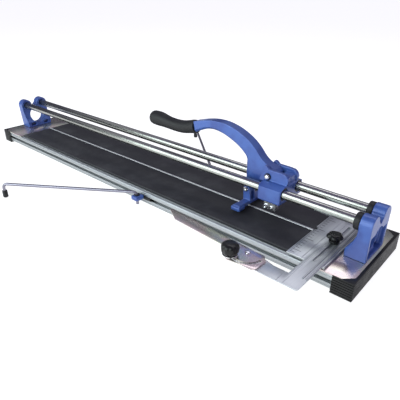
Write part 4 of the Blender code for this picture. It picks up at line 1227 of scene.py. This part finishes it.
@dataclass(frozen=True)
class Knob:
    """Mushroom knob with a fluted rim.

    The waist gives radius and height over the base of its lower part, from the rim down, and
    bore_top is the height at which its blind bore ends. A flute of the given depth stands between
    two of its lobes.
    """

    radius: float
    tall: float
    bore_top: float
    lobes: int
    depth: float
    waist: Sequence[Flat]
    bore: float = 0.0033

    def shape(self, base: float, centre: Flat) -> bmesh.types.BMesh:
        """The knob as one solid.

        Args:
            base: height of its underside.
            centre: its axis in plan.

        Returns:
            The solid.
        """
        radius, tall, bore, top = self.radius, self.tall, self.bore, base + self.tall
        profile = [(0.0, top), (radius * 0.40, top - tall * 0.005),
                   (radius * 0.62, top - tall * 0.03), (radius * 0.78, top - tall * 0.08),
                   (radius * 0.90, top - tall * 0.16), (radius * 0.97, top - tall * 0.26),
                   (radius, top - tall * 0.36)]
        profile += [(width, base + height) for width, height in self.waist]
        profile += [(self.waist[-1][0] - 0.0004, base), (bore, base), (bore, self.bore_top),
                    (0.0, self.bore_top)]
        bm = lathe(profile, (0.0, 0.0, 0.0), Axis.Z, self.lobes * 8)
        for vert in bm.verts:
            reach = math.hypot(vert.co.x, vert.co.y)
            if reach > radius * 0.7:
                wave = (1 - math.cos(self.lobes * math.atan2(vert.co.y, vert.co.x))) / 2
                share = min((reach / radius - 0.7) / 0.25, 1.0)
                shrink = 1 - self.depth * share * wave ** 3 / reach
                vert.co.x *= shrink
                vert.co.y *= shrink
        bmesh.ops.translate(bm, vec=(centre[0], centre[1], 0.0), verts=bm.verts)
        return bm


@dataclass
class Fence:
    """L-shaped measuring plate on its guide, with a locking knob."""

    bottom: float = 0.0465
    top: float = 0.049
    left: float = 0.526
    right: float = 0.602
    far: float = 0.075
    front: float = -0.117
    tail: float = 0.565
    leg_left: float = 0.519
    leg: Flat = (-0.173, -0.2075)
    stud: Flat = (0.582, -0.027)
    slot_ends: Flat = (-0.109, 0.049)
    slot_half: float = 0.0034
    grooves: tuple[Flat, ...] = ((0.032, 0.0335), (0.045, 0.0462))
    knob: Knob = Knob(0.0170, 0.0190, 0.0586, 5, 0.0042,
                      ((0.0168, 0.0110), (0.0150, 0.0096), (0.0090, 0.0090), (0.0078, 0.0080),
                       (0.0078, 0.0058), (0.0096, 0.0050), (0.0110, 0.0042), (0.0110, 0.0005)))

    def outline(self) -> list[Flat]:
        """Plan of the plate."""
        inner, outer = self.leg
        return [(self.left, self.front), (self.tail, self.front), (self.tail, inner),
                (self.leg_left, inner), (self.leg_left, outer + 0.002),
                (self.leg_left + 0.002, outer),
                *arc((self.right - 0.006, outer + 0.006), 0.006, -90, 0, 8),
                (self.right, self.far), (self.left, self.far), (self.left, 0.008),
                (self.left + 0.008, 0.0), (self.left, -0.008)]

    def build(self, shop: Workshop) -> None:
        """Makes the plate, its raised edge, the guide block, washer and knob."""
        plate = as_object(prism(self.outline(), Axis.Z, self.bottom, self.top, 0.0003), "ruler")
        x = self.stud[0]
        slot = [*arc((x, self.slot_ends[0]), self.slot_half, 180, 360, 10),
                *arc((x, self.slot_ends[1]), self.slot_half, 0, 180, 10)]
        grooves = [block((self.left + start, -0.5, self.top - 0.0007),
                         (self.left + stop, 0.5, self.top + 0.01), 0.0)
                   for start, stop in self.grooves]
        carved(plate, [prism(slot, Axis.Z, 0.03, 0.07, 0.0), *grooves])
        plate.name = "measuring_plate"
        shop.place(plate, shop.ruler, "fence", Slot.ALUMINIUM, "fence_plate")
        lips = [block((self.right - offset - 0.0015, self.leg[1] + 0.035, self.top - 0.0005),
                      (self.right - offset + 0.0015, self.far, self.top + 0.0018), 0.0006)
                for offset in (0.0095, 0.0025)]
        shop.add(merge(*lips), "plate_ribs", shop.cross_metal, "fence", Slot.ALUMINIUM)
        guide = block((self.right - 0.032, -0.112, 0.0403), (self.right + 0.003, 0.112, 0.0462),
                      0.0008)
        shop.add(guide, "fence_guide", shop.cross_metal, "base", Slot.ALUMINIUM, "fence_rail")
        shop.dress("fence_stud", shop.steel)
        base = self.top + PLAY
        washer = tube((*self.stud, base + 0.0012), 0.009, 0.0033, 0.0024, Axis.Z, 0.0006, 48)
        shop.add(washer, "knob_washer", shop.plastic, "base", Slot.PLASTIC, "fence_washer")
        knob = self.knob.shape(base + 0.0027, self.stud)
        shop.add(knob, "fence_lock_knob", shop.knob_plastic, "knob_fence", Slot.PLASTIC,
                 "fence_knob", crease=60)


@dataclass
class AngleGauge:
    """Swivelling blade on its carrier, with an arc slot and a locking knob."""

    pivot: Flat = (0.472, -0.171)
    bottom: float = 0.0465
    top: float = 0.0487
    slot_radius: float = 0.0352
    slot_half: float = 0.0034
    knob_angle: float = math.radians(-131.3)
    lean: float = math.radians(3.5)
    inner: float = 0.0145
    width: float = 0.028
    reach: float = 0.240
    leg_front: float = -0.2075
    knob: Knob = Knob(0.0184, 0.0235, 0.0592, 9, 0.0014,
                      ((0.0184, 0.0120), (0.0178, 0.0070), (0.0166, 0.0030), (0.0140, 0.0006)))

    def on_blade(self, along: float, across: float) -> Flat:
        """Point from distances along the blade and towards the bed."""
        ahead = Vector((-math.cos(self.lean), math.sin(self.lean)))
        square = Vector((math.sin(self.lean), math.cos(self.lean)))
        point = Vector(self.pivot) + ahead * along + square * across
        return (point.x, point.y)

    def outline(self) -> list[Flat]:
        """Plan of the blade."""
        px, py = self.pivot
        outer = self.inner - self.width
        points = [self.on_blade(-0.030, self.inner), self.on_blade(self.reach - 0.004, self.inner),
                  self.on_blade(self.reach, self.inner - 0.006),
                  self.on_blade(self.reach - 0.042, outer), self.on_blade(0.046, outer)]
        points += arc(self.pivot, 0.0475, -157, -112, 10)
        return points + [(px + 0.012, self.leg_front - 0.003), (px + 0.036, self.leg_front - 0.003),
                         (px + 0.0425, py - 0.030), (px + 0.0435, py - 0.002)]

    def build(self, shop: Workshop) -> None:
        """Makes the blade, its screw, the carrier, washer and knob."""
        blade = as_object(prism(self.outline(), Axis.Z, self.bottom, self.top, 0.0003), "blade")
        ring = arc(self.pivot, self.slot_radius + self.slot_half, -140, -8, 32)
        ring += arc(self.pivot, self.slot_radius - self.slot_half, -8, -140, 32)
        carved(blade, [prism(ring, Axis.Z, 0.03, 0.07, 0.0),
                       tube((*self.pivot, 0.05), 0.0033, 0.00005, 0.1, Axis.Z, 0.0, 32)])
        blade.name = "swivel_blade"
        shop.place(blade, shop.sheet, "blade", Slot.CHROME, "angle_blade")
        head = self.top + PLAY
        screw = [(0.0, head + 0.0014), (0.0014, head + 0.0014), (0.0014, head + 0.0026),
                 (0.0030, head + 0.0025), (0.0045, head + 0.0020), (0.0056, head + 0.0010),
                 (0.0060, head), (0.003, head), (0.003, 0.0441), (0.0, 0.0441)]
        shop.add(lathe(screw, (*self.pivot, 0.0), Axis.Z, 48), "blade_screw", shop.bright_steel,
                 "fence", Slot.STEEL, "blade_pivot_screw")
        # painted shade: the carrier gets near-black steel so the arc slot above it reads as shade
        shop.dress("gauge_carrier", shop.shade_dark_steel)
        shop.dress("blade_stud", shop.steel)
        stud = (self.pivot[0] + self.slot_radius * math.cos(self.knob_angle),
                self.pivot[1] + self.slot_radius * math.sin(self.knob_angle))
        washer = tube((*stud, head + 0.0008), 0.0160, 0.0033, 0.0016, Axis.Z, 0.0004, 48)
        shop.add(washer, "blade_knob_washer", shop.bright_steel, "fence", Slot.STEEL,
                 "blade_washer")
        shop.add(self.knob.shape(head + 0.0019, stud), "blade_lock_knob", shop.knob_plastic,
                 "knob_blade", Slot.PLASTIC, "blade_knob", crease=60)


# ---------------------------------------------------------------- studio
@dataclass(frozen=True)
class Lamp:
    """Soft rectangular light of some watts, which stands at a point and faces a target."""

    name: str
    at: Point
    target: Point
    size: Flat
    power: float
    colour: Colour

    def build(self) -> None:
        """Adds the light."""
        data = bpy.data.lights.new(self.name, "AREA")
        data.shape = "RECTANGLE"
        data.size, data.size_y = self.size
        data.energy = self.power
        data.color = self.colour
        lamp = bpy.data.objects.new(self.name, data)
        bpy.context.scene.collection.objects.link(lamp)
        lamp.location = self.at
        aim = Vector(self.target) - Vector(self.at)
        lamp.rotation_euler = aim.to_track_quat("-Z", "Y").to_euler()


@dataclass
class Studio:
    """Pale floor, soft lights and the camera."""

    camera_at: Point = (0.84728, -0.73128, 0.51389)
    camera_turn: Point = (62.379, 0.0, 41.740)
    lens: float = 37.257
    sensor: float = 36.0
    floor_size: float = 60.0
    floor_glow: float = 0.82
    sky: tuple[tuple[float, Colour], ...] = (
        (0.0, (0.30, 0.30, 0.32)), (0.16, (0.05, 0.05, 0.07)), (0.34, (0.10, 0.09, 0.16)),
        (0.52, (0.75, 0.75, 0.79)), (0.70, (0.40, 0.37, 0.54)), (1.0, (0.24, 0.19, 0.38)))
    sky_strength: float = 0.75
    lamps: tuple[Lamp, ...] = (
        Lamp("key", (-0.6, -2.6, 1.3), (0.0, 0.0, 0.05), (4.4, 2.2), 112.0, (0.88, 1.0, 1.0)),
        Lamp("top", (0.2, 1.4, 3.0), (0.0, 0.0, 0.0), (3.4, 0.8), 20.0, (1.0, 1.0, 1.0)),
        Lamp("violet_fill", (2.6, 1.6, 0.9), (0.3, 0.0, 0.05), (1.6, 1.2), 10.0,
             (0.72, 0.55, 1.0)))

    def build_floor(self) -> None:
        """Lays the floor."""
        bm = bmesh.new()
        bmesh.ops.create_grid(bm, x_segments=1, y_segments=1, size=self.floor_size)
        bmesh.ops.translate(bm, vec=(0, 0, -0.0005), verts=bm.verts)
        floor = as_object(bm, "floor")
        graph = Graph("pale_floor")
        graph.shader.inputs["Emission Color"].default_value = (1.0, 1.0, 1.0, 1.0)
        graph.shader.inputs["Emission Strength"].default_value = self.floor_glow
        cloud = graph.grain(1.5, 2.0)
        tone = graph.mix(cloud, (0.46, 0.46, 0.46), (0.50, 0.50, 0.50))
        floor.data.materials.append(graph.surface(tone, 0.7, 0.0))

    def build_sky(self) -> bpy.types.World:
        """Makes a dome, dark just above the horizon, pale at mid height and violet overhead."""
        world = bpy.data.worlds.new("studio")
        world.use_nodes = True
        tree = world.node_tree
        place = tree.nodes.new("ShaderNodeTexCoord")
        split = tree.nodes.new("ShaderNodeSeparateXYZ")
        ramp = tree.nodes.new("ShaderNodeValToRGB")
        set_stops(ramp.color_ramp, self.sky)
        tree.links.new(place.outputs["Generated"], split.inputs[0])
        tree.links.new(split.outputs["Z"], ramp.inputs[0])
        tree.links.new(ramp.outputs[0], tree.nodes["Background"].inputs["Color"])
        tree.nodes["Background"].inputs["Strength"].default_value = self.sky_strength
        return world

    def build(self) -> None:
        """Makes the floor, world, lights and camera."""
        self.build_floor()
        world = self.build_sky()
        scene = bpy.context.scene
        scene.world = world
        scene.view_settings.view_transform = "Standard"
        for lamp in self.lamps:
            lamp.build()
        data = bpy.data.cameras.new("camera")
        data.lens = self.lens
        data.sensor_width = self.sensor
        camera = bpy.data.objects.new("camera", data)
        scene.collection.objects.link(camera)
        camera.location = self.camera_at
        camera.rotation_euler = [math.radians(angle) for angle in self.camera_turn]
        scene.camera = camera


def main() -> None:
    """Builds every sub-assembly and the studio."""
    logging.basicConfig(level=logging.INFO, format="%(name)s: %(message)s")
    shop = Workshop()
    Bed().build(shop)
    RailFrame().build(shop)
    Carriage().build(shop)
    Handle().build(shop)
    ScoreHead().build(shop)
    SideArm("near", -1, 0.0934, math.radians(214.1)).build(shop)
    SideArm("far", 1, 0.1187, math.radians(139.0)).build(shop)
    Fence().build(shop)
    AngleGauge().build(shop)
    Studio().build()
    LOG.info("%d pieces placed", len(shop.placed))


if __name__ == "__main__":
    main()
